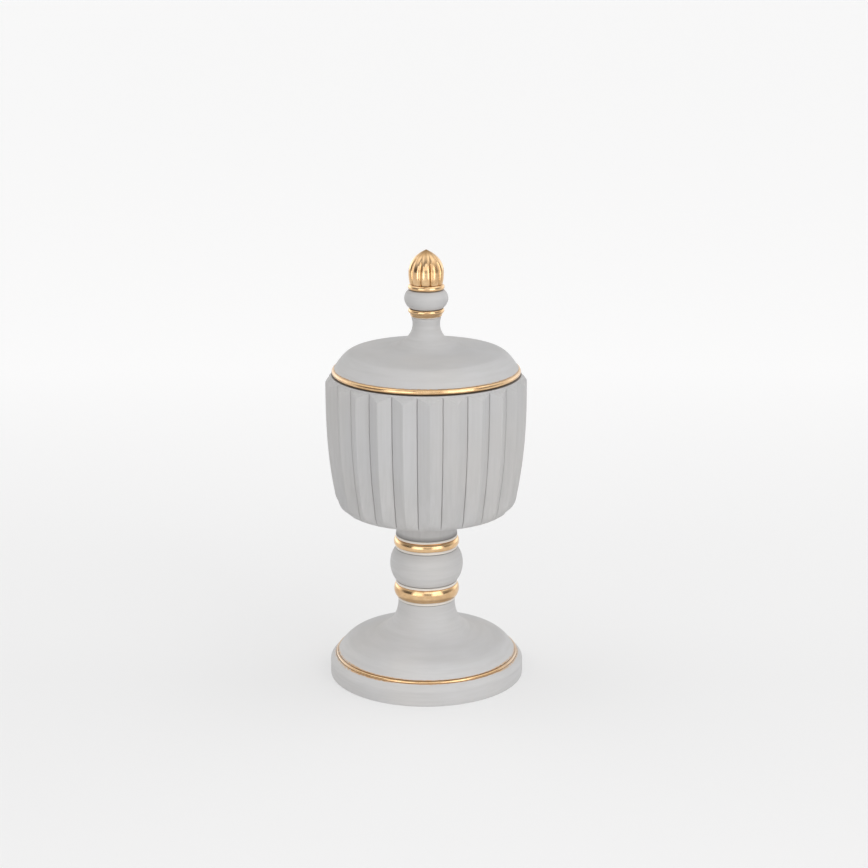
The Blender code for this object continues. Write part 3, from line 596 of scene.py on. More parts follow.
def glaze(name, streak_stretch, bristle_stretch, tone):
    """Matt grey glaze brushed along one direction, mottled warm and cool, darkened by painted shade in its
    seams, valleys and crevices, with gilding spilt along its lines."""
    made, tree, shader, place = shader_nodes(name)
    streaks = noise(tree, place, 60.0, streak_stretch, detail=4.0)
    bristles = noise(tree, place, 380.0, bristle_stretch, detail=2.0)
    clouds = noise(tree, place, 22.0, roughness=0.55)
    tint = noise(tree, place, 14.0, (1.0, 1.0, 0.6), detail=2.0, roughness=0.5)
    grain = noise(tree, place, 900.0, detail=2.0)
    ragged = noise(tree, place, 420.0)
    pale, deep, warm, cool, dull = [
        tuple(tone * part for part in colour)
        for colour in (GLAZE_PALE, GLAZE_DEEP, GLAZE_WARM, GLAZE_COOL, GLAZE_DULL)
    ]
    grey = mixed(tree, spread(tree, streaks, 0.35, 0.65), deep, pale)
    hue = mixed(tree, spread(tree, tint, 0.35, 0.65), warm, cool)
    body = mixed(tree, 0.45, grey, hue)
    body = mixed(tree, spread(tree, clouds, 0.45, 0.75, last=0.25), body, dull)
    body = mixed(tree, spread(tree, bristles, 0.40, 0.70, last=0.40), body, dull)
    # Painted shade where a piece marks its seams, valleys and the rim under the lid's bead
    shade = spread(tree, mark_of(tree, "painted_shade"), 0.0, 1.0, last=0.75)
    body = mixed(tree, shade, body, GLAZE_PAINTED_SHADE)
    gilt_share = spread(tree, computed(tree, "ADD", mark_of(tree, "gilding"), ragged), 0.82, 1.22)
    tree.links.new(mixed(tree, gilt_share, body, GILT_SPILT), shader.inputs["Base Color"])
    tree.links.new(spread(tree, gilt_share, 0.0, 1.0, last=0.7), shader.inputs["Metallic"])
    tree.links.new(spread(tree, streaks, 0.3, 0.7, 0.56, 0.66), shader.inputs["Roughness"])
    shader.inputs["Specular IOR Level"].default_value = 0.32
    dent(tree, shader, computed(tree, "ADD", streaks, grain), strength=0.06, depth=0.0006)
    return made


def gilt(name):
    """Brushed-on gilt: bright warm metal, uneven in tone and gloss, darkened to brown-gold by painted shade
    in the acorn's grooves and a painted dark reflection at its tip, a dull thin film where its gilding mark
    thins (real at a collar's fading edges, a painted dull reflection at a bead's left and right sides), and
    bare and cream where it ends."""
    made, tree, shader, place = shader_nodes(name)
    brush = noise(tree, place, 170.0, (1.0, 1.0, 2.2), detail=4.0)
    patches = noise(tree, place, 70.0, roughness=0.55)
    ragged = noise(tree, place, 380.0)
    gold = mixed(tree, spread(tree, brush, 0.35, 0.65), GILT_DEEP, GILT_BRIGHT)
    gold = mixed(tree, spread(tree, patches, 0.45, 0.72, last=0.6), gold, GILT_PATCH)
    # Painted shade in the acorn's grooves and a painted dark reflection at its tip
    shade = spread(tree, mark_of(tree, "painted_shade"), 0.0, 1.0, last=0.8)
    gold = mixed(tree, shade, gold, GILT_PAINTED_SHADE)
    gilding = mark_of(tree, "gilding")
    # Dull thin film where the gilding mark thins: real at a collar's fading edges, a painted dull reflection
    # at a bead's sides
    thinned_and_dulled = spread(tree, gilding, 0.5, 1.0, 1.0, 0.0)
    gold = mixed(tree, thinned_and_dulled, gold, GILT_THIN_AND_DULLED)
    cover = spread(tree, computed(tree, "ADD", gilding, ragged), 0.90, 1.05)
    tree.links.new(mixed(tree, cover, GILT_BARE, gold), shader.inputs["Base Color"])
    metal = computed(tree, "MULTIPLY", cover, spread(tree, thinned_and_dulled, 0.0, 1.0, 1.0, 0.4))
    tree.links.new(metal, shader.inputs["Metallic"])
    polish = spread(tree, patches, 0.3, 0.7, 0.14, 0.24)
    rough = computed(tree, "ADD", polish, spread(tree, thinned_and_dulled, 0.0, 1.0, last=0.2))
    tree.links.new(rough, shader.inputs["Roughness"])
    dent(tree, shader, computed(tree, "ADD", brush, patches), strength=0.05, depth=0.0006)
    return made


def plated_steel(name):
    """Zinc-plated steel: cool grey metal with fine turning marks and a blotchy dulled plating."""
    made, tree, shader, place = shader_nodes(name)
    turning = noise(tree, place, 500.0, (1.0, 1.0, 4.0))
    blotch = noise(tree, place, 160.0, roughness=0.5)
    colour = mixed(tree, spread(tree, blotch, 0.35, 0.7), STEEL_BRIGHT, STEEL_DULL)
    tree.links.new(colour, shader.inputs["Base Color"])
    shader.inputs["Metallic"].default_value = 1.0
    tree.links.new(spread(tree, blotch, 0.3, 0.7, 0.28, 0.46), shader.inputs["Roughness"])
    dent(tree, shader, turning, strength=0.10, depth=0.0002)
    return made


def black_rubber(name):
    """Matt black rubber with a dusty bloom."""
    made, tree, shader, place = shader_nodes(name)
    dust = noise(tree, place, 300.0)
    colour = mixed(tree, spread(tree, dust, 0.4, 0.75), RUBBER_BLACK, RUBBER_DUST)
    tree.links.new(colour, shader.inputs["Base Color"])
    tree.links.new(spread(tree, dust, 0.3, 0.7, 0.70, 0.90), shader.inputs["Roughness"])
    dent(tree, shader, dust, strength=0.15, depth=0.0002)
    return made


def make_foot(finish):
    """Turned foot: plinth, grooved chamfer, necked dome, socket, and a hollow set in from the dome by the
    wall. Gilding spills from the bead by a reach that wanders round it, further and thinner at the sides."""
    radius, base, top = span("foot")
    half, centre = bead_section("foot_bead")
    out = np.array([math.cos(FOOT_BEAD_FACING), math.sin(FOOT_BEAD_FACING)])
    start = FOOT_BEAD_FACING - math.pi / 2
    bed = arc(centre, half + PAINT_GAP, start, start - math.pi, BED_STEPS)
    lower_lip = bed[0] + FOOT_BEAD_SINK * out
    upper_lip = bed[-1] + FOOT_BEAD_SINK * out
    plinth_top = np.array([radius, PLINTH_HEIGHT])
    run = radius - lower_lip[0]
    rise = lower_lip[1] - PLINTH_HEIGHT
    rounding = bend(
        plinth_top,
        (radius, PLINTH_HEIGHT + PLINTH_LIFT * rise),
        (lower_lip[0] + PLINTH_REACH * run, lower_lip[1] - PLINTH_LIFT * rise),
        lower_lip,
    )
    side = softened([(radius - FOOT_RIM_WIDTH, base), (radius, base), plinth_top], FOOT_EDGE)
    crown = dome(upper_lip, FOOT_SHOULDER, FOOT_FLARE, (FOOT_NECK_RADIUS, top - FOOT_NECK_LENGTH))
    socket_floor = top - SPIGOT_REACH - SOCKET_PLAY
    web = socket_floor - FOOT_WEB
    rod_bore = span("tie_rod")[0] + ROD_PLAY
    socket = SPIGOT_RADIUS + FIT_GAP
    neck = softened(
        [
            (FOOT_NECK_RADIUS, top - FOOT_NECK_LENGTH),
            (FOOT_NECK_RADIUS, top),
            (socket, top),
            (socket, socket_floor),
            (rod_bore, socket_floor),
            (rod_bore, web),
        ],
        CERAMIC_EDGE,
    )
    hollow = set_in(crown, FOOT_WALL)
    hollow = hollow[hollow[:, 1] < web]
    inside = joined((rod_bore, web), (hollow[-1, 0], web), hollow[::-1])
    outline = spaced(joined(side, rounding, bed, crown, neck[1:], inside), WIDE_STEP)
    rings = turned(outline, WIDE_COLUMNS, TURNED_UNEVEN, seed=3)
    round_about = angles(WIDE_COLUMNS)
    aside = sideways(round_about)
    past_smear = (1.0 - np.cos(round_about - FOOT_SMEAR_PLACE)) / FOOT_SMEAR_SPREAD
    wander = FOOT_SPILL + FOOT_SPILL_WANDER * waver(round_about, 0.0, seed=11)
    wander = wander + FOOT_SMEAR_REACH * np.exp(-past_smear) + FOOT_SIDE_SPILL * aside
    reach = np.hypot(outline[:, 0] - centre[0], outline[:, 1] - centre[1])
    spill = 1.0 - eased(reach[:, None] - half - wander[None, :], 0.0, FOOT_SPILL_FADE)
    # Painted shade where the foot meets the collar above it
    shade_at_seam = 1.0 - eased(np.abs(outline[:, 1:] - top), 0.0, SEAM_SHADE)
    marks = {"gilding": (FOOT_SPILL_COVER - FOOT_SIDE_THINNING * aside) * spill, "painted_shade": shade_at_seam}
    return piece("foot", rings, True, finish, "jar", marks)


def make_bead(name, body, finish, uneven, side_dulling, seed):
    """A gilt ring: a circle of wavering thickness carried round the axis, its gilding dulled at the left and
    right sides as seen from the front, a painted dull reflection there.
    """
    half, centre = bead_section(name)
    section = angles(BEAD_SIDES)[:, None]
    round_about = angles(WIDE_COLUMNS)[None, :]
    angle = round_about - math.pi / 2
    thick = half - uneven * (0.5 + 0.5 * waver(angle, 0.0, seed))
    rings = carried_round(centre[0] + thick * np.cos(section), angle, centre[1] + thick * np.sin(section))
    # Painted dull reflection: the gilding mark drops at the left and right sides as seen from the front
    marks = {"gilding": 1.0 - side_dulling * sideways(round_about)}
    return piece(name, rings, True, finish, body, marks)


def make_collar(name, sizes, finish):
    """A gilt half-round between two narrow bare fillets, bored for the knop's spigot."""
    foot_radius, radius, top_radius, belly = sizes
    base, top = span(name)[1:]
    bore = SPIGOT_RADIUS + FIT_GAP
    foot = (foot_radius, base + COLLAR_FOOT_FILLET)
    head = (top_radius, top - COLLAR_TOP_FILLET)
    side = joined(
        softened([(bore, base), (foot_radius, base), (foot_radius, foot[1] - COLLAR_NOTCH)], GILT_EDGE),
        (foot_radius - COLLAR_NOTCH, foot[1]),
        bulge(foot, (radius, base + belly), head),
        (top_radius - COLLAR_NOTCH, head[1]),
        softened([(top_radius, head[1] + COLLAR_NOTCH), (top_radius, top), (bore, top)], GILT_EDGE),
    )
    outline = spaced(side, FINE_STEP)
    rings = turned(outline, SLIM_COLUMNS, GILT_UNEVEN, seed=len(name))
    height = outline[:, 1:]
    wander = COLLAR_GILT_WANDER * waver(angles(SLIM_COLUMNS), 0.0, seed=5 * len(name))[None, :]
    start = foot[1] + COLLAR_GILT_START
    end = head[1] + COLLAR_GILT_RISE
    low_edge = eased(height - wander, start, start + COLLAR_GILT_FADE)
    high_edge = eased(wander - height, -end, COLLAR_GILT_FADE - end)
    return piece(name, rings, True, finish, "jar", {"gilding": low_edge * high_edge})


def make_knop(name, sizes, spigot, below, above, body, bore, finish):
    """A turned knop: a full bulge with a spigot at each end and a bore right through."""
    foot_radius, radius, top_radius, belly = sizes
    low, high = span(name)[1:]
    base, top = low + below, high - above
    side = bulge((foot_radius, base), (radius, base + belly), (top_radius, top))
    foot = [(bore, high), (bore, low), (spigot, low), (spigot, base), (foot_radius, base)]
    head = [(top_radius, top), (spigot, top), (spigot, high), (bore, high)]
    ends = [softened(corners, CERAMIC_EDGE)[1:] for corners in (foot, head)]
    outline = spaced(joined(ends[0], side[1:], ends[1]), KNOP_STEP)
    rings = turned(outline, SLIM_COLUMNS, TURNED_UNEVEN, seed=len(name))
    # Painted shade at both ends, where the knop meets its collars
    shade_at_seam = 1.0 - eased(np.minimum(outline[:, 1:] - base, top - outline[:, 1:]), 0.0, SEAM_SHADE)
    return piece(name, rings, True, finish, body, {"painted_shade": shade_at_seam})


def bowl_side(radius, base, top, inset):
    """The bowl's side from its neck to its belly on a ridge or, set in, on a valley, as Bezier stretches."""
    neck = np.array([BOWL_NECK_RADIUS, base + BOWL_NECK_LENGTH])
    under = neck + BOWL_FLARE
    belly = np.array([radius - inset, top - BELLY_DROP])
    corner_top = np.array([belly[0] - BOWL_TAPER, base + CORNER_HEIGHT + CORNER_RISE])
    corner = np.array([radius - BOWL_TAPER - CORNER_RUN, base + CORNER_HEIGHT])
    run = corner_top[0] - corner[0]
    lead = (belly[1] - corner_top[1]) / 3
    return joined(
        (BOWL_NECK_RADIUS + BOWL_NECK_LIP, base),
        neck,
        bend(
            neck,
            neck + (0.0, BOWL_FLARE_START * BOWL_FLARE[1]),
            under - (BOWL_FLARE_END[0] * BOWL_FLARE[0], BOWL_FLARE_END[1] * BOWL_FLARE[1]),
            under,
        ),
        under + (corner - under) * np.linspace(0.0, 1.0, UNDERSIDE_STEPS + 1)[1:, None],
        bend(
            corner,
            corner + (CORNER_START[0] * run, CORNER_START[1] * CORNER_RISE),
            corner_top - (CORNER_END[0] * run, CORNER_END[1] * CORNER_RISE),
            corner_top,
            CORNER_STEPS,
        ),
        bend(corner_top, corner_top + (BOWL_LEAN * lead, lead), belly - (0.0, lead), belly, SIDE_STEPS),
    )


def bowl_shoulder(radius, top, belly):
    """The turned shoulder above the belly: upright, a Bezier curve in to the lip, and up to the rim."""
    start = np.array([radius, top - SHOULDER_DROP])
    lip = np.array([radius - RIM_SETBACK, top - RIM_LIP])
    rise = lip[1] - start[1]
    return joined(
        belly,
        start,
        bend(
            start,
            start + (0.0, SHOULDER_RISE * rise),
            (radius - SHOULDER_FALL[0] * RIM_SETBACK, lip[1] - SHOULDER_FALL[1] * rise),
            lip,
            SHOULDER_STEPS,
        ),
        (lip[0], top),
    )


def bowl_hollow(radius, base, top, valley):
    """The bowl's inside from the rim to its underside: a straight mouth, a floor set in from the valleys by
    the wall, the rod's bore and the socket for the knop's spigot."""
    shell = valley[valley[:, 1] >= base + BOWL_NECK_LENGTH + BOWL_FLARE[1] - TOLERANCE]
    inner = set_in(shell[shell[:, 1] < base + CORNER_HEIGHT + CORNER_RISE + TOLERANCE], BOWL_WALL)
    rim = (radius - RIM_SETBACK, top)
    mouth = (radius - RIB_DEPTH - BOWL_WALL, top)
    edge = softened([rim, mouth, inner[-1]], RIM_EDGE, RIM_STEPS)
    edge = joined(spaced(edge[:-1])[1:], spaced(edge[-2:], INNER_STEP)[1:])
    rod_bore = span("tie_rod")[0] + ROD_PLAY
    socket = SPIGOT_RADIUS + FIT_GAP
    socket_top = base + SPIGOT_REACH + SOCKET_PLAY
    bottom = softened(
        [
            inner[0],
            (rod_bore, inner[0, 1]),
            (rod_bore, socket_top),
            (socket, socket_top),
            (socket, base),
            (BOWL_NECK_RADIUS, base),
        ],
        BOWL_SOCKET_EDGE,
    )
    return joined(edge, inner[-2::-1], bottom[1:-1])


def make_bowl(finish):
    """Pleated shell. Between a ridge at radius R and a valley at radius V the wall is the straight line
    R V sin(h) / (R sin(a) + V sin(h - a)), with a the angle from the ridge and h half the pitch. Ridges are
    eased and a thin cut follows each valley. Above the belly a turned shoulder cuts the pleats off: each
    column rises to the height where the shoulder has the column's own radius, then follows the shoulder."""
    base, top = span("bowl")[1:]
    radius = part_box("bowl")[1].y
    ridge = bowl_side(radius, base, top, 0.0)
    valley = bowl_side(radius, base, top, RIB_DEPTH)
    half = math.pi / RIB_COUNT
    stations = np.array(PLEAT_STATIONS)
    share = np.concatenate([stations, [1.0], stations[:0:-1]])
    offset = np.concatenate([stations, [1.0], 2.0 - stations[:0:-1]]) * half
    angle = (np.arange(RIB_COUNT)[:, None] * 2 * half + offset[None, :]).ravel()
    away = np.tile(share * half, RIB_COUNT)[None, :]
    r_ridge = ridge[:, :1]
    r_valley = valley[:, :1]
    wall = r_ridge * r_valley * math.sin(half) / (r_ridge * np.sin(away) + r_valley * np.sin(half - away))
    depth = (r_ridge - r_valley) / RIB_DEPTH
    from_ridge = away * r_ridge
    from_valley = (half - away) * r_valley
    # The valley profile: it carves the thin cut along each valley and, scaled, is the painted shade there
    painted_shade = eased(depth, *VALLEY_ONSET) * np.exp(-((from_valley / VALLEY_WIDTH) ** 2))
    wall = wall - depth * RIDGE_LOSS * np.exp(-from_ridge / RIDGE_SOFTNESS) - VALLEY_CUT * painted_shade
    wall_height = np.broadcast_to(ridge[:, 1:], wall.shape)
    belly = ridge[-1]
    shoulder = bowl_shoulder(radius, top, belly)
    crease = np.interp(-wall[-1], -shoulder[:-1, 0], shoulder[:-1, 1])[None, :]
    # Shares of the way from the belly to the crease and from there to the rim, closer beside the crease
    climb = np.concatenate([np.linspace(0.0, 0.9, 9)[1:], [0.97, 1.0]])[:, None]
    rest = np.concatenate([[0.06], np.linspace(0.15, 1.0, 10)])[:, None]
    pleat_height = belly[1] + (crease - belly[1]) * climb
    pleat = np.broadcast_to(wall[-1:], pleat_height.shape)
    shoulder_height = crease + (top - crease) * rest
    shoulder_wall = np.interp(shoulder_height, shoulder[:, 1], shoulder[:, 0])
    hollow = bowl_hollow(radius, base, top, valley)
    inner_wall = np.broadcast_to(hollow[:, :1], (len(hollow), wall.shape[1]))
    inner_height = np.broadcast_to(hollow[:, 1:], inner_wall.shape)
    # Painted shade where the bowl meets the collar below it
    shade_at_seam = 1.0 - eased(ridge[:, 1:] - base, 0.0, SEAM_SHADE)
    painted_shade = np.maximum(VALLEY_SHADE * painted_shade, shade_at_seam)
    # Painted shade on the rim's top under the lid's bead
    under_bead = eased(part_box("lid_bead")[1].x + BEAD_SHADE - hollow[:, :1], 0.0, BEAD_SHADE_FADE)
    rim_shade_under_bead = under_bead * (hollow[:, 1:] > top - RIM_BAND)
    shade = np.vstack(
        [
            painted_shade,
            np.broadcast_to(painted_shade[-1:], pleat.shape),
            np.zeros(shoulder_wall.shape),
            np.broadcast_to(rim_shade_under_bead, inner_wall.shape),
        ]
    )
    wide = np.vstack([wall, pleat, shoulder_wall, inner_wall])
    height = np.vstack([wall_height, pleat_height, shoulder_height, inner_height])
    turn = angle[None, :] + RIB_TURN - math.pi / 2
    rings = carried_round(wide + MOULDED_UNEVEN * waver(turn, height, seed=23), turn, height)
    return piece("bowl", rings, True, finish, "jar", {"painted_shade": shade})


def make_lid(finish):
    """Turned lid: a cove for the bead, a necked dome, a socket above, a hollow and a spigot below. Gilding
    spills from the bead by a reach that wanders round it."""
    low, top = span("lid")[1:]
    half, centre = bead_section("lid_bead")
    base = span("lid_bead")[1]
    cove = half + PAINT_GAP
    edge = arc(centre, cove, math.asin(half / cove) - math.pi, LID_BEAD_HOOD - math.tau, BED_STEPS)
    crown = dome(edge[-1], LID_SHOULDER, LID_FLARE, (LID_NECK_RADIUS, top - LID_NECK_LENGTH))
    socket = FINIAL_SPIGOT_RADIUS + FIT_GAP
    socket_floor = top - FINIAL_SPIGOT_REACH - SOCKET_PLAY
    stud_bore = span("finial_stud")[0] + ROD_PLAY
    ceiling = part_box("finial_gasket")[1].z + SEAT_GAP
    neck = softened(
        [
            (LID_NECK_RADIUS, top - LID_NECK_LENGTH),
            (LID_NECK_RADIUS, top - LID_NECK_LENGTH / 2),
            (LID_NECK_RADIUS + LID_NECK_LIP, top),
            (socket, top),
            (socket, socket_floor),
            (stud_bore, socket_floor),
            (stud_bore, ceiling),
        ],
        LID_NECK_EDGE,
    )
    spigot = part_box("bowl")[1].y - RIB_DEPTH - BOWL_WALL - LID_PLAY
    inner = set_in(crown, LID_WALL)
    inner = inner[inner[:, 1] < ceiling]
    inner[:, 0] = np.minimum(inner[:, 0], spigot - LID_WALL)
    skirt = softened(
        [inner[0], (spigot - LID_WALL, low), (spigot, low), (spigot, base), edge[0]],
        LID_SKIRT_EDGE,
    )
    inside = joined((stud_bore, ceiling), (inner[-1, 0], ceiling), inner[::-1], skirt[1:-1])
    outline = spaced(joined(edge, crown, neck[1:], inside), WIDE_STEP)
    rings = turned(outline, WIDE_COLUMNS, TURNED_UNEVEN, seed=7)
    wander = LID_SPILL_WANDER * waver(angles(WIDE_COLUMNS), 0.0, seed=17)
    reach = np.hypot(outline[:, 0] - centre[0], outline[:, 1] - centre[1])
    spill = 1.0 - eased(reach[:, None] - half - wander[None, :], LID_SPILL, LID_SPILL + LID_SPILL_FADE)
    return piece("lid", rings, True, finish, "lid", {"gilding": LID_SPILL_COVER * spill})


def make_finial_collar(finish):
    """A gilt cone that widens upward to a rounded bead, bored for the knop's spigot."""
    radius, base, top = span("finial_collar")
    bore = FINIAL_SPIGOT_RADIUS + FIT_GAP
    foot = np.array([FINIAL_COLLAR_FOOT_RADIUS, base])
    flare = radius - foot[0]
    lip = top - FINIAL_COLLAR_LIP
    neck = np.array([radius - FINIAL_COLLAR_TUCK, lip - FINIAL_COLLAR_BEAD])
    lead = foot + (FINIAL_FLARE_START[0] * flare, FINIAL_FLARE_START[1] * (top - base))
    cone = bend(foot, lead, neck - FINIAL_COLLAR_LEAN, neck, CONE_STEPS)
    bead = bulge(neck, (radius, lip - FINIAL_COLLAR_BEAD / 3), (radius - FINIAL_COLLAR_TOP_SETBACK, top))
    head = softened([bead[-1], (bore, top), (bore, base), foot], FINIAL_COLLAR_EDGE)
    outline = spaced(joined(foot, cone, bead[1:], head[1:-1]), FINEST_STEP)
    rings = turned(outline, SLIM_COLUMNS, GILT_UNEVEN, seed=29)
    wander = FINIAL_GILT_WANDER * waver(angles(SLIM_COLUMNS), 0.0, seed=31)[None, :]
    start = base + FINIAL_GILT_START
    gilding = eased(outline[:, 1:] - wander, start, start + FINIAL_GILT_FADE)
    return piece("finial_collar", rings, True, finish, "lid", {"gilding": gilding})


def make_finial_cup(finish):
    """The gilt ring under the acorn: a low bulge with a bore."""
    foot_radius, radius, top_radius, belly = FINIAL_CUP
    base, top = span("finial_cup")[1:]
    bore = FINIAL_SPIGOT_RADIUS + FIT_GAP
    side = bulge((foot_radius, base), (radius, base + belly), (top_radius, top))
    ends = softened([side[-1], (bore, top), (bore, base), side[0]], GILT_EDGE)
    outline = spaced(joined(side, ends[1:-1]), FINEST_STEP)
    rings = turned(outline, SLIM_COLUMNS, GILT_UNEVEN, seed=37)
    return piece("finial_cup", rings, True, finish, "lid", {"gilding": 1.0})


def make_acorn(finish):
    """A pointed egg cut into lobes: its radius less a groove that grows as the square of one minus the
    cosine of the way from a lobe's crown to its edge, fading to the tip. A stepped blind bore inside."""
    base, top = span("finial_acorn")[1:]
    tall = top - base
    foot = np.array([ACORN_FOOT_RADIUS, base])
    belly = np.array([ACORN_RADIUS, base + ACORN_BELLY])
    rise = tall - ACORN_BELLY
    side = joined(
        foot,
        swell(foot, belly),
        bend(
            belly,
            (ACORN_START[0] * ACORN_RADIUS, belly[1] + ACORN_START[1] * rise),
            (ACORN_END[0] * ACORN_RADIUS, belly[1] + ACORN_END[1] * rise),
            (0.0, top),
            ACORN_STEPS,
        ),
    )
    stud_bore = span("finial_stud")[0] + ROD_PLAY
    bore = FINIAL_SPIGOT_RADIUS + FIT_GAP
    step = base + FINIAL_SPIGOT_REACH + SOCKET_PLAY
    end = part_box("finial_stud")[1].z + SOCKET_PLAY
    well = softened(
        [(0.0, end), (stud_bore, end), (stud_bore, step), (bore, step), (bore, base), foot],
        GILT_EDGE,
    )
    outline = joined(well[:-1], spaced(side, FINE_STEP))
    angle = angles(ACORN_LOBES * LOBE_COLUMNS)[None, :]
    away = np.abs(2.0 * ((angle * ACORN_LOBES / math.tau) % 1.0) - 1.0)
    groove = (1.0 - np.cos((1.0 - away) * math.pi / 2)) ** 2
    wide = outline[:, :1]
    fullness = wide / ACORN_RADIUS
    high = np.clip((outline[:, 1:] - base) / tall, 0.0, 1.0)
    onset = ACORN_GROOVE_ONSET * np.sqrt(np.maximum(0.0, fullness * (1.0 - high)))
    fade = np.minimum(1.0, onset) * fullness
    outside = (np.arange(len(outline)) >= len(well) - 1)[:, None]
    cut = np.where(outside, ACORN_GROOVE * groove * fade, 0.0)
    # Painted shade in the grooves and a painted dark reflection on the tip
    groove_shade_and_tip_reflection = np.maximum(groove * fade, ACORN_TIP_SHADE * eased(high, *ACORN_TIP))
    turn = angle + ACORN_TURN - math.pi / 2
    uneven = MOULDED_UNEVEN * waver(turn, outline[:, 1:], seed=41) * outside * (wide > 0)
    rings = carried_round(wide - cut + uneven, turn, outline[:, 1:])
    marks = {"gilding": 1.0, "painted_shade": np.where(outside, groove_shade_and_tip_reflection, 0.0)}
    return piece("finial_acorn", rings, False, finish, "lid", marks)


def make_threaded(name, body, pitch, finish):
    """A threaded rod: the radius dips by the thread's depth as a triangle wave of height over pitch less
    one turn of the angle, fading out at both chamfered ends."""
    radius, base, top = span(name)
    depth = THREAD_SHARE * pitch
    height = np.linspace(base, top, int((top - base) / pitch * ROWS_PER_THREAD) + 1)[:, None]
    angle = angles(ROD_COLUMNS)[None, :]
    wave = np.abs(2.0 * ((height / pitch - angle / math.tau) % 1.0) - 1.0)
    end = np.minimum(height - base, top - height)
    wide = np.minimum(radius - depth * wave, radius - ROD_END_CHAMFER + end)
    rings = carried_round(wide, angle, height)
    hubs = rings[[0, -1]].copy()
    hubs[:, :, :2] = 0.0
    rings = np.concatenate([hubs[:1], rings, hubs[1:]], axis=0)
    return piece(name, rings, False, finish, body, crisp=CRISP_STEEL)


def make_washer(name, body, bore, finish):
    """A flat ring with softened edges."""
    radius, base, top = span(name)
    corners = [(bore, (base + top) / 2), (bore, base), (radius, base), (radius, top), (bore, top)]
    outline = spaced(softened(corners + corners[:1], WASHER_EDGE)[:-1])
    rings = turned(outline, FASTENER_COLUMNS, WASHER_UNEVEN, seed=len(name))
    return piece(name, rings, True, finish, body)


def make_nut(name, body, bore, capped, finish):
    """A hexagon nut: at each angle the flats' distance over the cosine, or the chamfer's cone where that is
    less. A cap nut goes on to a dome and closes on the axis."""
    flats, base, top = span(name)
    angle = angles(FASTENER_COLUMNS)[None, :]
    hexagon = flats / np.cos((angle + math.pi / 6) % (math.pi / 3) - math.pi / 6)
    tall = CAP_NUT_HEX if capped else top - base
    # Shares of the hexagon's height, closer at its two chamfers
    rise = np.concatenate([np.linspace(0.0, 0.25, 8), np.linspace(0.3, 0.7, 5), np.linspace(0.75, 1.0, 8)])
    height = base + tall * rise[:, None]
    end = np.minimum(height - base, base + tall - height)
    wide = np.minimum(hexagon, NUT_FACE_SHARE * flats + end / math.tan(NUT_CHAMFER))
    entry = [(bore, base + NUT_HOLE_CHAMFER), (bore + NUT_HOLE_CHAMFER, base)]
    if capped:
        lift = np.linspace(0.0, math.pi / 2, CAP_NUT_ROWS)[:, None]
        crown = CAP_NUT_DOME_SHARE * flats * np.cos(lift)
        crown_height = base + tall + (top - base - tall) * np.sin(lift)
        end_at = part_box("tie_rod")[1].z + SEAT_GAP
        before = np.array([(0.0, end_at), (bore, end_at), *entry])
        after = np.concatenate([crown, crown_height], axis=1)
    else:
        before = np.zeros((0, 2))
        after = np.array([(bore + NUT_HOLE_CHAMFER, top), (bore, top - NUT_HOLE_CHAMFER), *entry])
    columns = np.ones((1, FASTENER_COLUMNS))
    wide = np.vstack([before[:, :1] * columns, wide, after[:, :1] * columns])
    height = np.vstack([before[:, 1:], height, after[:, 1:]])
    rings = carried_round(wide, angle, height)
    return piece(name, rings, not capped, finish, body, crisp=CRISP_STEEL)


def make_floor():
    """A wide level sheet of pale paper that glows a little, with painted shade near the jar that gives way
    to painted light with the distance behind it.
    """
    half = FLOOR_HALF
    mesh = bpy.data.meshes.new("floor")
    corners = [(-half, -half, 0), (half, -half, 0), (half, half, 0), (-half, half, 0)]
    mesh.from_pydata(corners, [], [(0, 1, 2, 3)])
    made, tree, shader, place = shader_nodes("white_paper")
    depth = node(tree, "ShaderNodeSeparateXYZ", {"Vector": place}).outputs["Y"]
    # Painted shade near the jar giving way to painted light behind it, in both the colour and the glow
    paper = mixed(tree, spread(tree, depth, FLOOR_NEAR, FLOOR_FAR), PAPER_SHADED_NEAR, PAPER_LIT_FAR)
    tree.links.new(paper, shader.inputs["Base Color"])
    tree.links.new(paper, shader.inputs["Emission Color"])
    shader.inputs["Emission Strength"].default_value = FLOOR_GLOW
    shader.inputs["Roughness"].default_value = 0.8
    shader.inputs["Specular IOR Level"].default_value = 0.1
    mesh.materials.append(made)
    sheet = bpy.data.objects.new("floor", mesh)
    bpy.context.scene.collection.objects.link(sheet)
    return sheet


def softbox(name, azimuth, distance, wide, low, high, glow):
    """One field of a tall softbox that stands on the camera's side and faces the jar."""
    turn = math.radians(azimuth)
    lamp = bpy.data.lights.new(name, "AREA")
    lamp.shape = "RECTANGLE"
    lamp.size = wide
    lamp.size_y = high - low
    lamp.energy = glow * math.pi * lamp.size * lamp.size_y
    made = bpy.data.objects.new(name, lamp)
    made.location = (distance * math.sin(turn), -distance * math.cos(turn), (low + high) / 2)
    made.rotation_euler = (math.pi / 2, 0.0, turn)
    made.visible_camera = False
    bpy.context.scene.collection.objects.link(made)
    return made


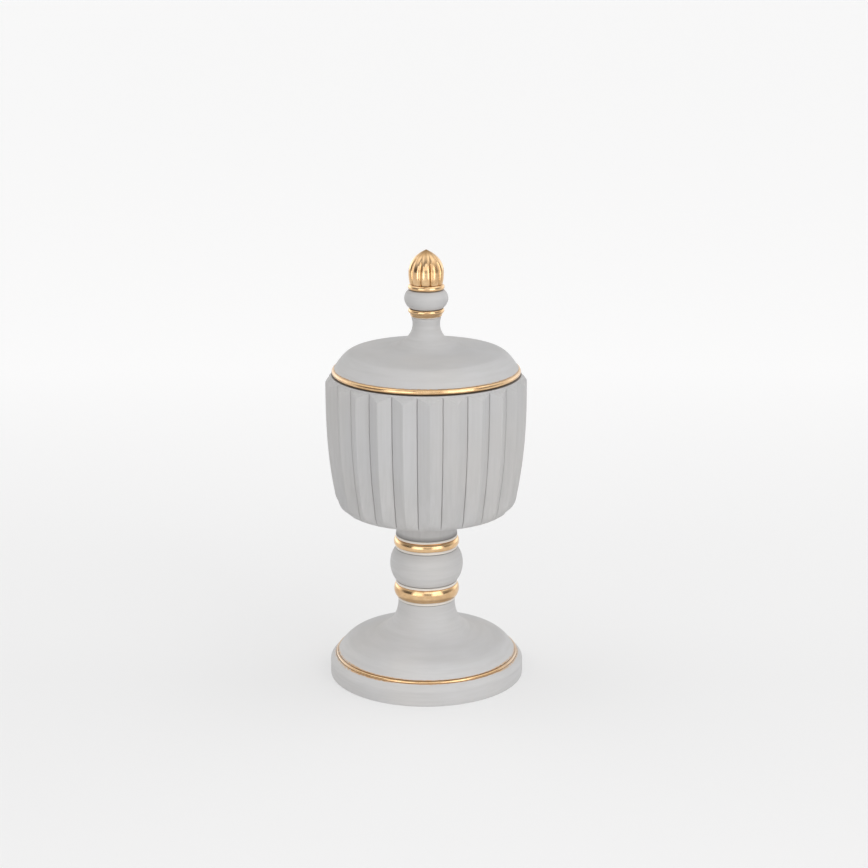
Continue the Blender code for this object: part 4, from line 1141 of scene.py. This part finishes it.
def light_studio(floor):
    """A room that glows unevenly, a tall softbox on either side of the camera and a dimmer one behind it.
    The fields that reach down to the floor light the jar alone.

    In a direction the room is as bright as the sum over its glows of the strength times the direction's
    share towards the glow, raised to the glow's sharpness.
    """
    world = bpy.data.worlds.new("studio")
    bpy.context.scene.world = world
    world.use_nodes = True
    tree = world.node_tree
    way = node(tree, "ShaderNodeTexCoord").outputs["Generated"]
    glow = 0.0
    for middle, sharpness, strength in ROOM_GLOWS:
        towards = node(tree, "ShaderNodeVectorMath", {0: way, 1: middle}, operation="DOT_PRODUCT")
        share = computed(tree, "MAXIMUM", towards.outputs["Value"], 0.0)
        total = {0: computed(tree, "POWER", share, sharpness), 1: strength, 2: glow}
        glow = node(tree, "ShaderNodeMath", total, operation="MULTIPLY_ADD").outputs["Value"]
    tree.links.new(glow, tree.nodes["Background"].inputs["Color"])
    shaded = bpy.data.collections.new("shaded_from_low_softboxes")
    shaded.objects.link(floor)
    shaded.collection_objects[0].light_linking.link_state = "EXCLUDE"
    for index, field in enumerate(SOFTBOXES):
        lamp = softbox(f"softbox_{index}", *field)
        low_edge = field[3]
        if low_edge < SOFTBOX_SPILL:
            lamp.light_linking.receiver_collection = shaded


def set_camera():
    """A long lens in front of the jar and above it, looking slightly down."""
    lens = bpy.data.cameras.new("camera")
    lens.lens = CAMERA_LENS
    lens.sensor_width = CAMERA_SENSOR
    made = bpy.data.objects.new("camera", lens)
    made.location = CAMERA_PLACE
    made.rotation_euler = (math.pi / 2 - CAMERA_PITCH, 0.0, 0.0)
    bpy.context.scene.collection.objects.link(made)
    bpy.context.scene.camera = made
    bpy.context.scene.view_settings.view_transform = "Standard"


def buried(ring, spigot_reach):
    """How far a knop's spigot goes: through the ring beside it, past two seats and into the next socket."""
    base, top = span(ring)[1:]
    return top - base + 2 * SEAT_GAP + spigot_reach


def make_jar():
    """Every piece in its finish."""
    upright = glaze("grey_glaze_brushed_upright", UPRIGHT_STREAKS, UPRIGHT_BRISTLES, BOWL_TONE_AND_LIGHT)
    round_about = glaze("grey_glaze_brushed_round", ROUND_STREAKS, ROUND_BRISTLES, LID_TONE_AND_LIGHT)
    pale = glaze("grey_glaze_of_the_stem", ROUND_STREAKS, ROUND_BRISTLES, STEM_TONE_AND_LIGHT)
    leaf = gilt("gilt")
    steel = plated_steel("zinc_plated_steel")
    rubber = black_rubber("black_rubber")
    rod_bore = span("tie_rod")[0] + ROD_PLAY
    stud_bore = span("finial_stud")[0] + ROD_PLAY
    nut_bore = span("tie_rod")[0] + FIT_GAP
    stud_nut_bore = span("finial_stud")[0] + FIT_GAP
    make_foot(pale)
    make_bead("foot_bead", "jar", leaf, FOOT_BEAD_UNEVEN, FOOT_BEAD_SIDE_DULLING, seed=13)
    make_collar("lower_collar", LOWER_COLLAR, leaf)
    make_knop(
        "stem_knop",
        STEM_KNOP,
        SPIGOT_RADIUS,
        buried("lower_collar", SPIGOT_REACH),
        buried("upper_collar", SPIGOT_REACH),
        "jar",
        rod_bore,
        pale,
    )
    make_collar("upper_collar", UPPER_COLLAR, leaf)
    make_bowl(upright)
    make_lid(round_about)
    make_bead("lid_bead", "lid", leaf, LID_BEAD_UNEVEN, LID_BEAD_SIDE_DULLING, seed=19)
    make_finial_collar(leaf)
    make_knop(
        "finial_knop",
        FINIAL_KNOP,
        FINIAL_SPIGOT_RADIUS,
        buried("finial_collar", FINIAL_SPIGOT_REACH),
        buried("finial_cup", FINIAL_SPIGOT_REACH),
        "lid",
        stud_bore,
        round_about,
    )
    make_finial_cup(leaf)
    make_acorn(leaf)
    make_threaded("tie_rod", "jar", ROD_PITCH, steel)
    make_threaded("finial_stud", "lid", STUD_PITCH, steel)
    seats = (("bowl", "jar", rod_bore), ("foot", "jar", rod_bore), ("finial", "lid", stud_bore))
    for place, body, bore in seats:
        make_washer(place + "_gasket", body, bore, rubber)
        make_washer(place + "_washer", body, bore, steel)
    make_nut("bowl_cap_nut", "jar", nut_bore, True, steel)
    make_nut("foot_nut", "jar", nut_bore, False, steel)
    make_nut("finial_nut", "lid", stud_nut_bore, False, steel)


make_jar()
light_studio(make_floor())
set_camera()
